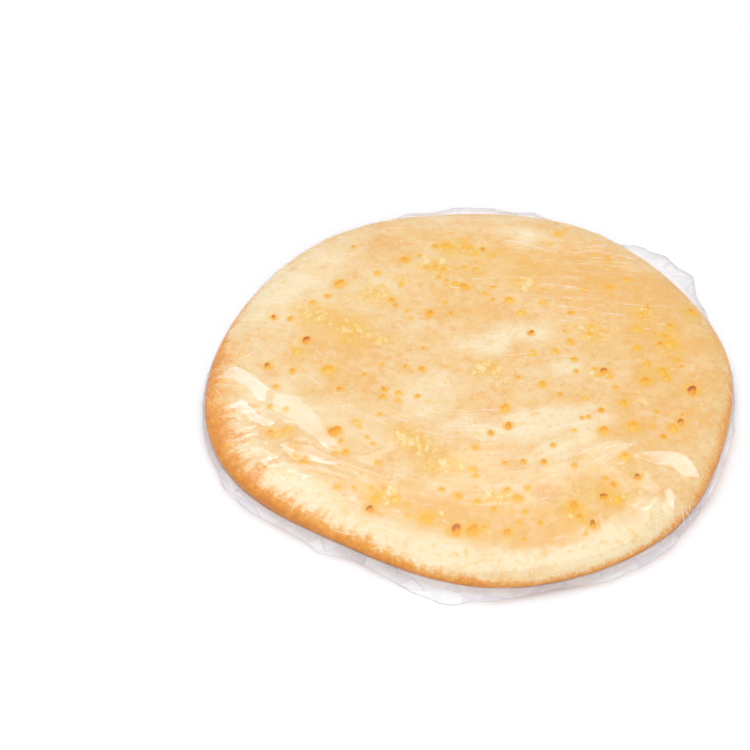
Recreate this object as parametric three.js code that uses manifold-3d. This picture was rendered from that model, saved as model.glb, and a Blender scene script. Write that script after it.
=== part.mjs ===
// A round cheese-filled flatbread sealed in clear shrink film, lying flat with its film side up.
// The sealed bag and the bread in it are one closed solid: the film lies tight on the bread's top and
// shoulder, leaves it near the widest point, and stands out round the foot as a thin crumpled skirt.
// Millimetres, +Z up. The origin is the middle of the bounding box's underside, on the surface it rests on.
// The side at -Y is the front.

import * as THREE from "three";
import { mergeVertices } from "three/addons/utils/BufferGeometryUtils.js";
import Module from "manifold-3d";

// Driving dimensions of the bread, in millimetres.
const BREAD_RADIUS = 125;
const BREAD_HEIGHT = 16;
const WIDEST_HEIGHT = 6.5; // where the rounded edge reaches furthest out
const SHOULDER_POWER = 7; // a higher power gives a flatter top and a tighter shoulder
const FILM_STANDOFF = 0.5; // the film's outer face above the crust

// Waves round the outline's circle: [waves in a turn, share of the radius, phase in degrees].
const OUTLINE_WAVES = [
  [1, 0.019, 95],
  [2, 0.0035, -125],
  [3, 0.0189, -164],
  [4, 0.0144, 98],
  [5, 0.0092, -53],
  [6, 0.0055, 104],
  [7, 0.0057, 99],
];

// Relief of the top.
const CROWN_RISE = 1.0; // the filled middle above the shoulder
const VALLEY_SHARE = 0.8; // where the filling ends, as a share of the outline's radius
const VALLEY_WIDTH = 0.07; // as a share of the outline's radius
const VALLEY_DEPTHS = [0.3, 0.9]; // at the back and at the front
const LUMP_HEIGHT = 0.5;
const LUMP_WAVES = [
  [0.5, 92, 40, 20],
  [0.5, 92, 140, 65],
  [0.7, 138, 45, 120],
  [0.35, 62, -20, 50],
  [0.3, 54, 75, 10],
  [0.25, 41, 160, 200],
]; // [share, wavelength, direction in degrees, phase in degrees]

// Loose film standing out from the bread: [direction, half width in degrees, reach, height of the tip].
const FILM_FLAPS = [
  [-95, 12, 7.9, 0.0],
  [-123, 6, 5.2, 0.4],
  [-142, 10, 4.4, 1.2],
  [-72, 7, -0.9, 0.0],
  [-57, 7, 3.8, 0.2],
  [-46, 6, 2.8, 0.8],
  [-17, 12, 2.0, 5.0],
  [44, 13, 7.4, 8.0],
  [92, 24, 2.6, 7.0],
];
const SKIRT_REACH = 1.4; // of the film past the bread where no flap is
const SKIRT_LIFT = 0.8; // height of its tip there
const PLEAT_REACH = 0.28; // how far pleats change the reach, as a share of it
const PLEAT_HEIGHT = 1.1;
const PLEAT_WAVES = [
  [23, 0.55, 2, 2.4],
  [41, 0.45, 3, 1.7],
]; // [pleats in a turn, share, slow waves that make them uneven, by how many radians]
const TIP_THICKNESS = 0.6; // of the two layers of film at the skirt's tip
const LEAVE_RISE = 2.5; // the film leaves the bread at least this far above the tip
const LEAVE_STEP = 0.4; // from the shoulder's last ring down to where the film leaves it
const SKIRT_FLARE = 1.7; // a higher power keeps the film close to the bread for longer
const SKIRT_FALL = 0.75; // a lower power brings it down sooner
const UNDER_TIP = [0.96, 0.15]; // just under the tip: share of the way out from the foot, least height
const UNDER_MIDDLE = [0.5, 0.3]; // halfway under the skirt: share of the way out, share of the tip's lift
const FOOT_INSET = 9; // from the outline to the edge of the flat foot

// Browned cheese that has come through the crust, the largest where the bread has them: [x, y, radius].
const LARGE_BLISTERS = [
  [103, -1, 3.0], [105, 55, 3.4], [-69, 61, 3.2], [-36, 79, 2.4], [-80, 20, 2.8], [-97, 1, 2.6],
  [-68, -1, 2.8], [-23, 42, 2.4], [16, 54, 2.3], [27, 31, 2.2], [45, 27, 2.2], [61, 7, 3.2],
  [15, -21, 2.9], [18, -33, 2.9], [-64, -40, 3.2], [-76, -59, 2.3], [-44, -87, 2.4], [-5, -98, 3.3],
  [3, -97, 3.2], [18, -98, 2.3], [57, -90, 2.3], [48, -82, 3.3], [63, -73, 2.6], [72, -49, 3.3],
  [77, -60, 2.3], [75, -28, 3.2], [97, -22, 2.7], [90, 9, 3.2], [93, 31, 3.5], [82, 3, 2.3],
  [-9, 63, 3.6], [-15, 92, 3.4], [-7, 91, 3.0], [63, 91, 2.2],
];
const SMALL_BLISTERS = 34;
const SMALL_RADIUS = [1.5, 2.3];
const BLISTER_FIELD = 0.86; // share of the outline's radius that the small ones keep within
const BLISTER_GAP = 2; // least gap between a small one and any other
const BLISTER_RISE = 0.3; // height above the film's face, as a share of the radius
const BLISTER_SECTION = [[1, -0.6, 0], [0.7, 0, 0.7]]; // [share of radius out, of radius up, of rise up]
const BLISTER_SIDES = 6;
const SEED = 7;

// Mesh steps.
const INNER_STEPS = 96; // round the middle of the top
const OUTER_STEPS = 2 * INNER_STEPS; // round the shoulder, skirt and foot
const INNER_RINGS = 11;
const INNER_SHARE = 0.78;
const SHOULDER_RINGS = 8;
const SKIRT_RINGS = 5;

const TAU = 2 * Math.PI;
const radians = (degrees) => (degrees * Math.PI) / 180;
const mix = (a, b, t) => a + (b - a) * t;

// Radius of the bread's outline in a direction.
function outline(angle) {
  const waves = OUTLINE_WAVES.map(
    ([count, share, phase]) => share * Math.cos(count * angle - radians(phase)),
  );
  return BREAD_RADIUS * (1 + waves.reduce((sum, wave) => sum + wave, 0));
}

// Gentle lumps of the baked top.
function lumps(x, y) {
  const heights = LUMP_WAVES.map(([share, length, direction, phase]) => {
    const along = x * Math.cos(radians(direction)) + y * Math.sin(radians(direction));
    return share * Math.sin((along / length) * TAU + radians(phase));
  });
  return LUMP_HEIGHT * heights.reduce((sum, height) => sum + height, 0);
}

// Height of the film's face on the top and shoulder, at a share of the outline's radius.
function topHeight(share, angle) {
  const radius = share * outline(angle);
  const [x, y] = [radius * Math.cos(angle), radius * Math.sin(angle)];
  const fall = Math.sqrt(Math.max(0, 1 - share ** SHOULDER_POWER));
  const depth = mix(...VALLEY_DEPTHS, (1 - Math.sin(angle)) / 2);
  const valley = depth * Math.exp(-(((share - VALLEY_SHARE) / VALLEY_WIDTH) ** 2));
  const crown = CROWN_RISE * (1 - (share / VALLEY_SHARE) ** 2);
  const relief = lumps(x, y) + Math.max(0, crown) - valley;
  return WIDEST_HEIGHT + (BREAD_HEIGHT + FILM_STANDOFF - WIDEST_HEIGHT + relief) * fall;
}

// Share of the outline's radius where the shoulder has come down to a height.
function shareAtHeight(height) {
  const up = (height - WIDEST_HEIGHT) / (BREAD_HEIGHT + FILM_STANDOFF - WIDEST_HEIGHT);
  return (1 - up * up) ** (1 / SHOULDER_POWER);
}

const triangleWave = (t) => (2 / Math.PI) * Math.asin(Math.sin(t));

// Uneven folds round the skirt, from -1 to 1.
function pleat(angle) {
  const folds = PLEAT_WAVES.map(([count, share, slow, bend]) => {
    const uneven = bend * Math.sin(slow * angle + count);
    return share * triangleWave(count * angle + uneven);
  });
  return folds.reduce((sum, fold) => sum + fold, 0);
}

// How far the loose film stands out past the outline in a direction, and how high its tip lies.
function skirt(angle) {
  let [reach, lift] = [SKIRT_REACH, SKIRT_LIFT];
  for (const [direction, halfWidth, flapReach, flapHeight] of FILM_FLAPS) {
    const turn = angle - radians(direction);
    const away = Math.atan2(Math.sin(turn), Math.cos(turn));
    const near = Math.exp(-((away / radians(halfWidth)) ** 2));
    reach += flapReach * near;
    lift += flapHeight * near;
  }
  return [reach * (1 + PLEAT_REACH * pleat(angle)), lift];
}

// The film's section in a direction, from the shoulder to the edge of the flat foot: [radius, height].
function skirtSection(angle) {
  const [reach, lift] = skirt(angle);
  const leaveHeight = Math.max(WIDEST_HEIGHT, lift + LEAVE_RISE);
  const leaveRadius = shareAtHeight(leaveHeight) * outline(angle) + FILM_STANDOFF;
  const tipRadius = outline(angle) + reach;
  const tipHeight = lift + TIP_THICKNESS + Math.max(0, PLEAT_HEIGHT * pleat(angle));
  const section = [];
  for (let i = 1; i <= SKIRT_RINGS; i++) {
    const t = i / SKIRT_RINGS;
    section.push([
      mix(leaveRadius, tipRadius, t ** SKIRT_FLARE),
      mix(leaveHeight, tipHeight, t ** SKIRT_FALL),
    ]);
  }
  const footRadius = outline(angle) - FOOT_INSET;
  const [tipShare, leastHeight] = UNDER_TIP;
  const [middleShare, liftShare] = UNDER_MIDDLE;
  section.push([mix(footRadius, tipRadius, tipShare), Math.max(leastHeight, tipHeight - TIP_THICKNESS)]);
  section.push([mix(footRadius, tipRadius, middleShare), liftShare * lift]);
  section.push([footRadius, 0]);
  return section;
}

// All rings of points from the top's middle to the foot. Each runs round once, from +X towards +Y.
function surfaceRings() {
  const rings = [];
  const around = (steps, place) => Array.from({ length: steps }, (_, i) => {
    const angle = (i / steps) * TAU;
    const [radius, height] = place(angle);
    return [radius * Math.cos(angle), radius * Math.sin(angle), height];
  });
  for (let i = 1; i <= INNER_RINGS; i++) {
    const share = (INNER_SHARE * i) / INNER_RINGS;
    rings.push(around(INNER_STEPS, (angle) => [share * outline(angle), topHeight(share, angle)]));
  }
  for (let i = 1; i <= SHOULDER_RINGS; i++) {
    const t = Math.sin((i / SHOULDER_RINGS) * (Math.PI / 2));
    rings.push(around(OUTER_STEPS, (angle) => {
      const leaveHeight = Math.max(WIDEST_HEIGHT, skirt(angle)[1] + LEAVE_RISE);
      const last = shareAtHeight(leaveHeight + LEAVE_STEP);
      const share = mix(INNER_SHARE, last, t);
      return [share * outline(angle) + FILM_STANDOFF * t, topHeight(share, angle)];
    }));
  }
  const sections = Array.from({ length: OUTER_STEPS }, (_, i) => skirtSection((i / OUTER_STEPS) * TAU));
  for (let ring = 0; ring < sections[0].length; ring++) {
    rings.push(around(OUTER_STEPS, (angle) => sections[Math.round((angle / TAU) * OUTER_STEPS)][ring]));
  }
  return rings;
}

// One closed mesh over the rings, with a fan at the top's middle and one at the foot's.
function bagGeometry() {
  const rings = surfaceRings();
  const points = [[0, 0, topHeight(0, 0)]];
  const starts = rings.map((ring) => {
    const start = points.length;
    points.push(...ring);
    return start;
  });
  const foot = points.length;
  points.push([0, 0, 0]);
  const faces = [];
  const first = rings[0].length;
  for (let i = 0; i < first; i++) {
    faces.push([0, starts[0] + i, starts[0] + ((i + 1) % first)]);
  }
  for (let ring = 0; ring + 1 < rings.length; ring++) {
    const [inner, outer] = [rings[ring].length, rings[ring + 1].length];
    const split = outer / inner;
    for (let i = 0; i < inner; i++) {
      const [a, b] = [starts[ring] + i, starts[ring] + ((i + 1) % inner)];
      const out = (k) => starts[ring + 1] + ((i * split + k) % outer);
      for (let k = 0; k < split; k++) {
        faces.push([k < split / 2 ? a : b, out(k), out(k + 1)]);
      }
      faces.push([a, out(Math.ceil(split / 2)), b]);
    }
  }
  const last = rings[rings.length - 1].length;
  const lastStart = starts[starts.length - 1];
  for (let i = 0; i < last; i++) {
    faces.push([foot, lastStart + ((i + 1) % last), lastStart + i]);
  }
  const geometry = new THREE.BufferGeometry();
  geometry.setAttribute("position", new THREE.Float32BufferAttribute(points.flat(), 3));
  geometry.setIndex(faces.flat());
  return geometry;
}

// Whole-number random draws from 0 to 1, the same on every run.
function drawer(seed) {
  let state = seed;
  return () => {
    state = (state * 16807) % 2147483647;
    return state / 2147483647;
  };
}

// The large blisters, then small ones scattered by the seeded rule, clear of each other.
function blisterPlaces() {
  const draw = drawer(SEED);
  const places = LARGE_BLISTERS.map((blister) => [...blister]);
  while (places.length < LARGE_BLISTERS.length + SMALL_BLISTERS) {
    const angle = draw() * TAU;
    const reach = Math.sqrt(draw()) * BLISTER_FIELD * BREAD_RADIUS;
    const radius = mix(...SMALL_RADIUS, draw());
    const [x, y] = [reach * Math.cos(angle), reach * Math.sin(angle)];
    if (places.every(([px, py, pr]) => Math.hypot(px - x, py - y) > pr + radius + BLISTER_GAP)) {
      places.push([x, y, radius]);
    }
  }
  return places;
}

// A low dome on the film's face, sunk a little into it.
function blisterGeometry([x, y, radius]) {
  const rise = BLISTER_RISE * radius;
  const flank = BLISTER_SECTION.map(([out, up, risen]) => [out * radius, up * radius + risen * rise]);
  const profile = [[0, -radius], ...flank, [0, rise]];
  const lathe = new THREE.LatheGeometry(profile.map(([r, z]) => new THREE.Vector2(r, z)), BLISTER_SIDES);
  const angle = Math.atan2(y, x);
  const share = Math.hypot(x, y) / outline(angle);
  lathe.rotateX(Math.PI / 2);
  lathe.rotateZ(x + y);
  lathe.translate(x, y, topHeight(share, angle));
  return lathe;
}

const wasm = await Module();
wasm.setup();

// A closed surface as a solid that others can be joined to.
function solidFrom(geometry) {
  const bare = geometry.clone();
  bare.deleteAttribute("normal");
  bare.deleteAttribute("uv");
  const merged = mergeVertices(bare, 1e-4);
  const vertProperties = new Float32Array(merged.attributes.position.array);
  const triVerts = new Uint32Array(merged.index.array);
  return new wasm.Manifold(new wasm.Mesh({ numProp: 3, vertProperties, triVerts }));
}

// The joined solid as a surface for the mesh.
function geometryFrom(solid) {
  const mesh = solid.getMesh();
  const geometry = new THREE.BufferGeometry();
  geometry.setAttribute("position", new THREE.Float32BufferAttribute(mesh.vertProperties, 3));
  geometry.setIndex(Array.from(mesh.triVerts));
  geometry.computeVertexNormals();
  return geometry;
}

function sealedBag() {
  let bag = solidFrom(bagGeometry());
  for (const place of blisterPlaces()) {
    bag = bag.add(solidFrom(blisterGeometry(place)));
  }
  const geometry = geometryFrom(bag);
  geometry.computeBoundingBox();
  const middle = geometry.boundingBox.getCenter(new THREE.Vector3());
  geometry.translate(-middle.x, -middle.y, 0);
  const material = new THREE.MeshStandardMaterial({ color: 0xf2cf9b, roughness: 0.3, metalness: 0 });
  const mesh = new THREE.Mesh(geometry, material);
  mesh.name = "sealed_bag";
  return mesh;
}

const part = new THREE.Group();
part.add(sealedBag());

export default part;
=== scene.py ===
import math

import bpy
import numpy as np
from mathutils import Matrix, Vector
from mathutils.geometry import delaunay_2d_cdt


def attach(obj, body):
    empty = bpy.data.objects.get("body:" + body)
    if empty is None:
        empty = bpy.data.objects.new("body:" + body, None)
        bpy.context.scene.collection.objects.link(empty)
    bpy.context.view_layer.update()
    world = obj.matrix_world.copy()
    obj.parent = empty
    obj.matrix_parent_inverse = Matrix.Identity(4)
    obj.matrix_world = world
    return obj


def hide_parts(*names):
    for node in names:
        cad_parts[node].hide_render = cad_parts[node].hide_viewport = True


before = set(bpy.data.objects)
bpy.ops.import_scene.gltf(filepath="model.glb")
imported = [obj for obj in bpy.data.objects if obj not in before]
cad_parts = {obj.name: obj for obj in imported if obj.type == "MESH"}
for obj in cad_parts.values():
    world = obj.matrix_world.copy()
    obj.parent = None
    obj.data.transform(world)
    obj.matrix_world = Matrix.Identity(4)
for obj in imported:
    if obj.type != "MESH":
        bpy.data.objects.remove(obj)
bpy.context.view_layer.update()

MM = 0.001
TAU = 2 * math.pi
NODE = "sealed_bag"
BODY = "root"

# The bread's sizes, as in the model.
BREAD_RADIUS = 125.0
BREAD_HEIGHT = 16.0
WIDEST_HEIGHT = 6.5
SHOULDER_POWER = 7
FILM_STANDOFF = 0.5
OUTLINE_WAVES = [
    (1, 0.019, 95), (2, 0.0035, -125), (3, 0.0189, -164), (4, 0.0144, 98),
    (5, 0.0092, -53), (6, 0.0055, 104), (7, 0.0057, 99),
]
CROWN_RISE = 1.0
VALLEY_SHARE = 0.8
VALLEY_WIDTH = 0.07
VALLEY_DEPTHS = (0.3, 0.9)  # at the back and at the front
LUMP_HEIGHT = 0.5
LUMP_WAVES = [
    (0.5, 92, 40, 20), (0.5, 92, 140, 65), (0.7, 138, 45, 120),
    (0.35, 62, -20, 50), (0.3, 54, 75, 10), (0.25, 41, 160, 200),
]

# The loose film's sizes, as in the model: direction, half width in degrees, reach, height of the tip.
FILM_FLAPS = [
    (-95, 12, 7.9, 0.0), (-123, 6, 5.2, 0.4), (-142, 10, 4.4, 1.2), (-72, 7, -0.9, 0.0), (-57, 7, 3.8, 0.2),
    (-46, 6, 2.8, 0.8), (-17, 12, 2.0, 5.0), (44, 13, 7.4, 8.0), (92, 24, 2.6, 7.0),
]
SKIRT_REACH = 1.4
SKIRT_LIFT = 0.8
PLEAT_REACH = 0.28
PLEAT_HEIGHT = 1.1
PLEAT_WAVES = [(23, 0.55, 2, 2.4), (41, 0.45, 3, 1.7)]
TIP_THICKNESS = 0.6
LEAVE_RISE = 2.5
SKIRT_FLARE = 1.7
SKIRT_FALL = 0.75
FOOT_INSET = 9.0
MODEL_STEPS = 192

# Melted cheese that has come through the crust, by how far it has browned: x, y, radius.
BROWN_SPOTS = [
    (103, 0, 3.0), (61, 8, 2.0), (26, 31, 1.6), (97.5, -21.5, 2.2), (57, -90.5, 2.3), (61.5, -74, 2.0),
    (-98, 35, 1.6), (-98, 1, 2.0), (-81, 19, 2.2), (-44, -88, 2.2), (-4.5, -98.5, 3.0), (77, -60, 1.9),
]
ORANGE_SPOTS = [
    (3, -98, 3.0), (104, 57, 2.8), (62, 91, 1.6), (15, 54, 2.0), (-23, 41, 2.0), (48, -81, 2.4),
    (51, -87, 2.0), (-69, -1, 2.5), (-63.5, -42.2, 3.0), (-76, -60, 1.8), (15, -21.5, 2.2),
    (17, -33, 2.0), (-68, 60.5, 2.6), (75, -28, 2.7), (61, -32.5, 2.2), (71, -48.5, 2.4),
    (66, -66.5, 1.5), (80.5, 3, 2.4), (93, 43, 1.8), (88, 30, 1.5), (72, 75, 1.5), (45, 47.5, 1.4),
    (38, 19.5, 1.4), (47, 15, 1.4), (67, -3, 1.2), (60, -19, 1.4), (89, -32, 1.6), (24.5, -55.5, 1.3),
    (34, -55.5, 1.4), (48, -57, 1.3), (18.5, -98.5, 1.9), (17.5, -73.5, 1.3), (8, -96.5, 1.4),
    (-80, 46, 1.5), (-90, 34, 1.4), (-63, 89.5, 1.2), (-37, 79.5, 2.0), (-22.5, 92, 1.6), (1, 92, 1.4),
    (-7, 62, 2.1), (-42, 49.5, 1.4), (-25, 16, 0.9), (-33, 3, 1.0), (-25, 2, 1.5), (-44, 4, 1.0),
    (-42, -13, 1.5), (-42.5, -18, 1.4), (-63, -14, 1.4), (-86, -2.5, 1.5), (-35, -15, 1.4),
    (-26, -16.5, 1.2), (-93, -42, 1.2), (-38, -76, 1.2), (-12, -75.5, 1.2), (7, 63, 1.1), (31, 63, 0.9),
    (42, 34.5, 0.8), (57, 9, 1.1), (82, 56, 1.3), (103.5, 10.5, 0.9), (98, 16, 1.0), (98, -16.5, 1.0),
    (54, -96, 0.9), (16, -57, 1.1), (9, -38.5, 1.5), (-13, 42, 1.0), (20.5, -1, 1.1),
]
YELLOW_SPOTS = [
    (-85, 11, 1.7), (-73, 51, 1.3), (-30, 84, 1.0), (-17, 93, 2.2), (-8.5, 99, 1.3), (-8, 93, 1.5),
    (-5, 93, 1.3), (-50, 68.5, 1.4), (-26, 75, 1.2), (-22, 76, 1.2), (-18, 74, 1.3), (-20, 68, 1.2),
    (-16, 66, 1.1), (-12, 64, 1.5), (-8, 77, 1.1), (-2, 76, 1.2), (-38, 61, 1.2), (-40, 46, 1.1),
    (-16, 50, 1.0), (-34, 42, 0.9), (-32, 37, 0.9), (21, 45, 1.6), (3, 58, 1.2), (7, 54, 1.0),
    (31, 53, 1.3), (45, 27, 1.8), (27, 16.5, 1.7), (54, 34, 1.2), (55, 39, 1.0), (48, 7, 1.1),
    (58, 5, 1.0), (64, 4, 1.1), (56, 92, 1.0), (63, 68, 1.9), (51, 65, 1.2), (34, 98, 1.0),
    (38, 107, 1.7), (42, 113, 1.2), (6, 87, 1.1), (-3, 88, 1.2), (90, 36, 1.7), (93, 31, 2.6),
    (77, 39, 1.9), (79, 50, 1.3), (77, 26, 1.8), (82, 15.5, 1.6), (96, 20, 1.6), (89, 11, 2.2),
    (91, 7, 1.8), (-52, -3, 1.1), (-93, -13, 1.2), (-35, -20, 1.2), (-94.5, -26, 1.2), (-87, -28, 1.2),
    (-43, -30, 1.1), (-53.5, -36, 1.6), (-52, -39, 1.0), (-60, -48, 1.0), (-85, -41, 1.4),
    (-90, -44, 1.5), (-48, -45, 1.0), (-45, -49, 0.9), (-57.5, -55, 1.6), (-62, -56, 1.0),
    (-80, -58, 1.3), (-42, -61, 1.3), (-60, -76, 1.2), (-52, -76, 1.0), (-44, -76, 1.0),
    (-42, -82, 2.0), (-33, -82, 1.8), (-27, -85, 1.0), (-27, -91.5, 1.0), (-18, -93, 2.4),
    (-4.5, -79, 1.7), (32, -4, 1.7), (40.5, -10, 1.2), (52.5, -12, 1.1), (70.5, -13, 1.9),
    (54, -24, 1.1), (51, -25, 1.0), (83.5, -27, 1.0), (94, -26, 2.4), (86, -17, 1.0), (47.5, -34, 1.0),
    (38, -44.5, 1.3), (62.5, -63.5, 1.1), (68, -75, 2.0), (2, -48.5, 1.4), (1.5, -62, 1.6),
    (3, -66, 1.3), (27, -72, 1.3), (22.5, -78.5, 2.1), (26, -86.5, 1.2), (12, -85.5, 1.2),
    (4, -82, 1.5), (23.5, -93, 1.3), (33, -92, 1.3), (26, -102, 1.0),
]
# The spots, how far they have browned, and how much darker they grow towards the back left.
BROWNING = [(BROWN_SPOTS, 0.33, 0.5), (ORANGE_SPOTS, 0.23, 0.13), (YELLOW_SPOTS, 0.18, 0.04)]

# Curd that shows through the thin dough: x, y, half length, half width, turn in degrees, loose crumbs.
CURD_FIELDS = [
    (-11, 93, 9, 6, 0, 13), (-22, 76, 8, 5, -20, 10), (-9, 63, 5, 3, -30, 5), (5, 3, 8, 6, 0, 11),
    (56, 35, 9, 8, 0, 14), (61, 7, 5, 4, 0, 8), (92, 33, 5, 8, 0, 7), (-78, 38, 9, 7, 0, 8),
    (-60, 26, 10, 8, 0, 8), (-50, 52, 9, 7, 0, 8), (-46, 20, 4, 3, 0, 4), (-38, 65, 5, 4, 0, 4),
    (-27, -45, 11, 7, -20, 14), (50, -85, 5, 4, 0, 4), (66, -74, 4, 3, 0, 4), (94, -25, 4, 3, 0, 4),
    (22, 68, 6, 5, 0, 6), (38, 108, 5, 2.5, -10, 4), (-90, -43, 6, 3, 0, 4), (-40, -80, 8, 5, -20, 6),
    (-18, -92, 5, 3, 0, 4), (80, 52, 5, 4, 60, 5), (-13, -60, 11, 7, 0, 8), (14, -79, 8, 5, 0, 5),
]
STRAY_CRUMBS = 50

# Areas of the crust's colour, the cream ones with painted sheen of the film: x, y, half length, half width,
# turn in degrees, strength.
# The cream areas are pale crust and painted sheen of the tight film over it.
CREAM_AND_SHEEN_AREAS = [
    (-92, 58, 38, 15, 54, 0.5), (14, 27, 25, 8, 30, 0.55), (42, 8, 10, 4, 15, 0.45),
    (20, 107, 18, 6, -3, 0.4), (34, -28, 27, 10, 14, 0.55), (41, -46, 15, 7, 20, 0.5),
    (-88, -73, 38, 13, -42, 0.6), (-32, -107, 38, 10, -17, 0.6), (28, -113, 38, 7, 6, 0.45),
    (-84, -28, 26, 11, -28, 0.45), (-20, -14, 17, 13, 20, 0.4), (2, -36, 22, 9, 24, 0.35),
    (72, -92, 26, 9, 40, 0.3), (-50, 55, 22, 14, 20, 0.2), (101, -50, 15, 12, 60, 0.1),
    (62, -106, 28, 8, 24, 0.45), (90, -84, 16, 8, 52, 0.2), (-96, 8, 14, 9, -50, 0.2),
    (-104, -42, 8, 12, 0, 0.25), (-106, -20, 9, 15, 0, 0.3), (-50, -34, 16, 10, -40, 0.2),
    (-2, -108, 16, 6, 0, 0.15),
]
TAN_AREAS = [
    (72, 62, 50, 32, -30, 0.33), (-8, 54, 34, 16, 5, 0.15), (98, -2, 22, 40, 0, 0.22),
    (4, -46, 10, 4, 0, 0.35), (20, -56, 9, 4, 0, 0.2), (34, -97, 32, 9, 20, 0.34),
    (-8, -87, 32, 9, -6, 0.32), (-62, 12, 24, 14, 0, 0.2), (-62, -10, 20, 8, -30, 0.15),
    (-50, -64, 34, 4, -26, 0.15), (72, -32, 16, 10, 20, 0.27), (64, -18, 8, 6, 0, 0.2),
    (64, -70, 16, 10, -20, 0.25), (32, -105, 12, 4, 0, 0.2), (28, 84, 22, 11, 0, 0.15),
    (90, -64, 13, 8, 60, 0.2),
]
YELLOW_AREAS = [
    (-78, 36, 11, 9, 0, 0.6), (-60, 25, 11, 10, 0, 0.6), (-85, 12, 5, 5, 0, 0.5),
    (-15, 93, 10, 7, 0, 0.6), (0, 90, 8, 6, 0, 0.5), (93, 31, 8, 11, 0, 0.8), (48, -84, 8, 6, 0, 0.6),
    (-90, -43, 7, 4, 0, 0.5), (-40, -80, 10, 7, -20, 0.5), (-18, -92, 7, 5, 0, 0.5),
    (64, -73, 9, 6, 0, 0.6), (62, 68, 8, 6, 0, 0.5), (80, 48, 7, 9, 0, 0.75), (86, 10, 10, 8, 0, 0.6),
    (22, 68, 8, 6, 0, 0.5), (94, -26, 6, 4, 0, 0.5), (-70, 0, 6, 4, 0, 0.4), (-2, -97, 10, 5, 0, 0.5),
    (-22, 76, 9, 6, -20, 0.5), (8, 81, 32, 12, 0, 0.4), (72, -62, 20, 9, 70, 0.2),
]
PEACH_AREAS = [
    (-50, 91, 9, 7, 20, 0.8), (-26, -50, 7, 5, 0, 0.45), (36, -74, 7, 5, 0, 1.0),
    (10, -28, 7, 6, 0, 0.7), (33, -104, 7, 4, 0, 0.6), (20, -57, 6, 4, 0, 0.5),
    (-66, -58, 16, 3, -26, 0.5), (-98, -6, 6, 4, 0, 0.4),
]

# The top edge of the browned side, round the bread: direction in degrees, height.
BROWN_EDGE = [
    (-180, 13.4), (-165, 13.4), (-150, 13.2), (-125, 12.7), (-115, 11.5), (-100, 10.5), (-85, 10.5),
    (-76, 9), (-68, 8.6), (-60, 9.2), (-40, 10.1), (-20, 10.8), (0, 11.2), (40, 10.2), (90, 10.2),
    (120, 9.4), (140, 9.2), (165, 11.4),
]

# Facets where the film is pulled tight: slopes along x and y at the middle, how strongly they shine, corners.
TIGHT_FACETS = [
    (0.103, 0.109, 0.95, [
        (-123.5, -10), (-119, -5.5), (-116.5, -2), (-113, -1.5), (-109, -3), (-104, -6.5), (-99, -11.5),
        (-94, -16.5), (-89, -20.5), (-86, -25), (-92, -27), (-97, -24.5), (-103, -20.5), (-107, -15.5),
        (-113, -11.5), (-117, -11),
    ]),
    (0.055, 0.071, 0.45, [
        (-95, -19), (-90, -19.5), (-87, -21), (-83, -20), (-79, -23), (-79, -25.5), (-74, -27.5),
        (-73.5, -31), (-70, -33.5), (-69, -38.5), (-65, -44), (-62.5, -46.5), (-59.5, -54),
        (-64, -52.5), (-69, -50), (-72, -45), (-77, -44), (-80, -37.5), (-86, -36), (-89, -31.5), (-94, -27),
    ]),
    (0.105, 0.102, 1, [
        (-116, -28.5), (-112, -24.5), (-109, -23), (-106, -23.5), (-103, -27.5), (-99, -32), (-93, -37),
        (-94, -39.5), (-101, -39), (-105, -34.5), (-109, -31), (-111, -29.5),
    ]),
    (0.127, 0.111, 0.9, [(-113, -32.5), (-108, -32.5), (-103, -37), (-109, -36)]),
    (0.123, 0.113, 0.8, [(-116.5, -31.5), (-114, -28.5), (-110, -29.5), (-110, -31)]),
    (0.127, 0.107, 0.8, [(-113, -42.5), (-109, -41), (-102, -40), (-104, -43), (-109, -44)]),
    (0.124, 0.103, 0.6, [(-114, -49.5), (-111, -47), (-107, -48.5), (-109, -50)]),
    (0.134, 0.100, 0.4, [
        (-108.5, -55.5), (-104, -54), (-98, -52), (-92, -55.5), (-90, -59), (-96, -60.5),
    ]),
    (0.060, 0.074, 0.35, [
        (-86, -50.5), (-76, -52.5), (-66, -57), (-50, -64), (-36, -71), (-37, -73), (-52, -67),
        (-66, -60.5), (-78, -56),
    ]),
    (0.074, 0.081, 0.35, [
        (-90, -64), (-76, -63), (-66, -65.5), (-52, -71.5), (-56, -74), (-70, -69), (-84, -67),
    ]),
    (-0.098, 0.115, 0.85, [
        (78, -47), (80, -45), (84, -43.5), (90, -42.5), (95, -42), (100, -43.5), (103.5, -47),
        (105.5, -50.5), (107.5, -56.5), (100, -57.5), (95.5, -55), (90.5, -52), (85, -49.8), (81, -48.2),
    ]),
    (-0.088, 0.116, 0.9, [
        (87.3, -66.3), (92.5, -64.8), (96, -68.8), (95.4, -74), (94.2, -81), (91, -77.8), (89.8, -72.8),
        (88.3, -69.6),
    ]),
    (-0.085, 0.098, 0.4, [
        (81, -55), (83, -58.5), (86, -62), (89, -66), (86, -68.5), (80, -69.5), (77.5, -66.5), (79, -61),
    ]),
    (-0.107, 0.100, 0.6, [
        (72, -76.5), (77, -78), (82, -75.5), (88, -70), (86, -75), (83, -80.5), (80, -82), (76, -80),
    ]),
    (-0.071, 0.097, 0.35, [
        (62, -40.5), (70, -40), (77, -40.5), (73, -44), (68, -50), (60, -51), (54, -46.5),
    ]),
]
FACET_BOWS = (0.00086, 0.00052)  # how much the slopes along x and y grow in each millimetre
FACET_WALL = 1.3  # how wide the steep sides of a raised facet are

# Where the film clings and hardly shines: x, y, half length, half width, turn in degrees, strength.
DULL_AREAS = [(61, -73, 18, 13, -30, 0.9), (48, -80, 10, 8, 0, 0.7), (5, -98, 90, 24, 6, 0.6)]
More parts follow.
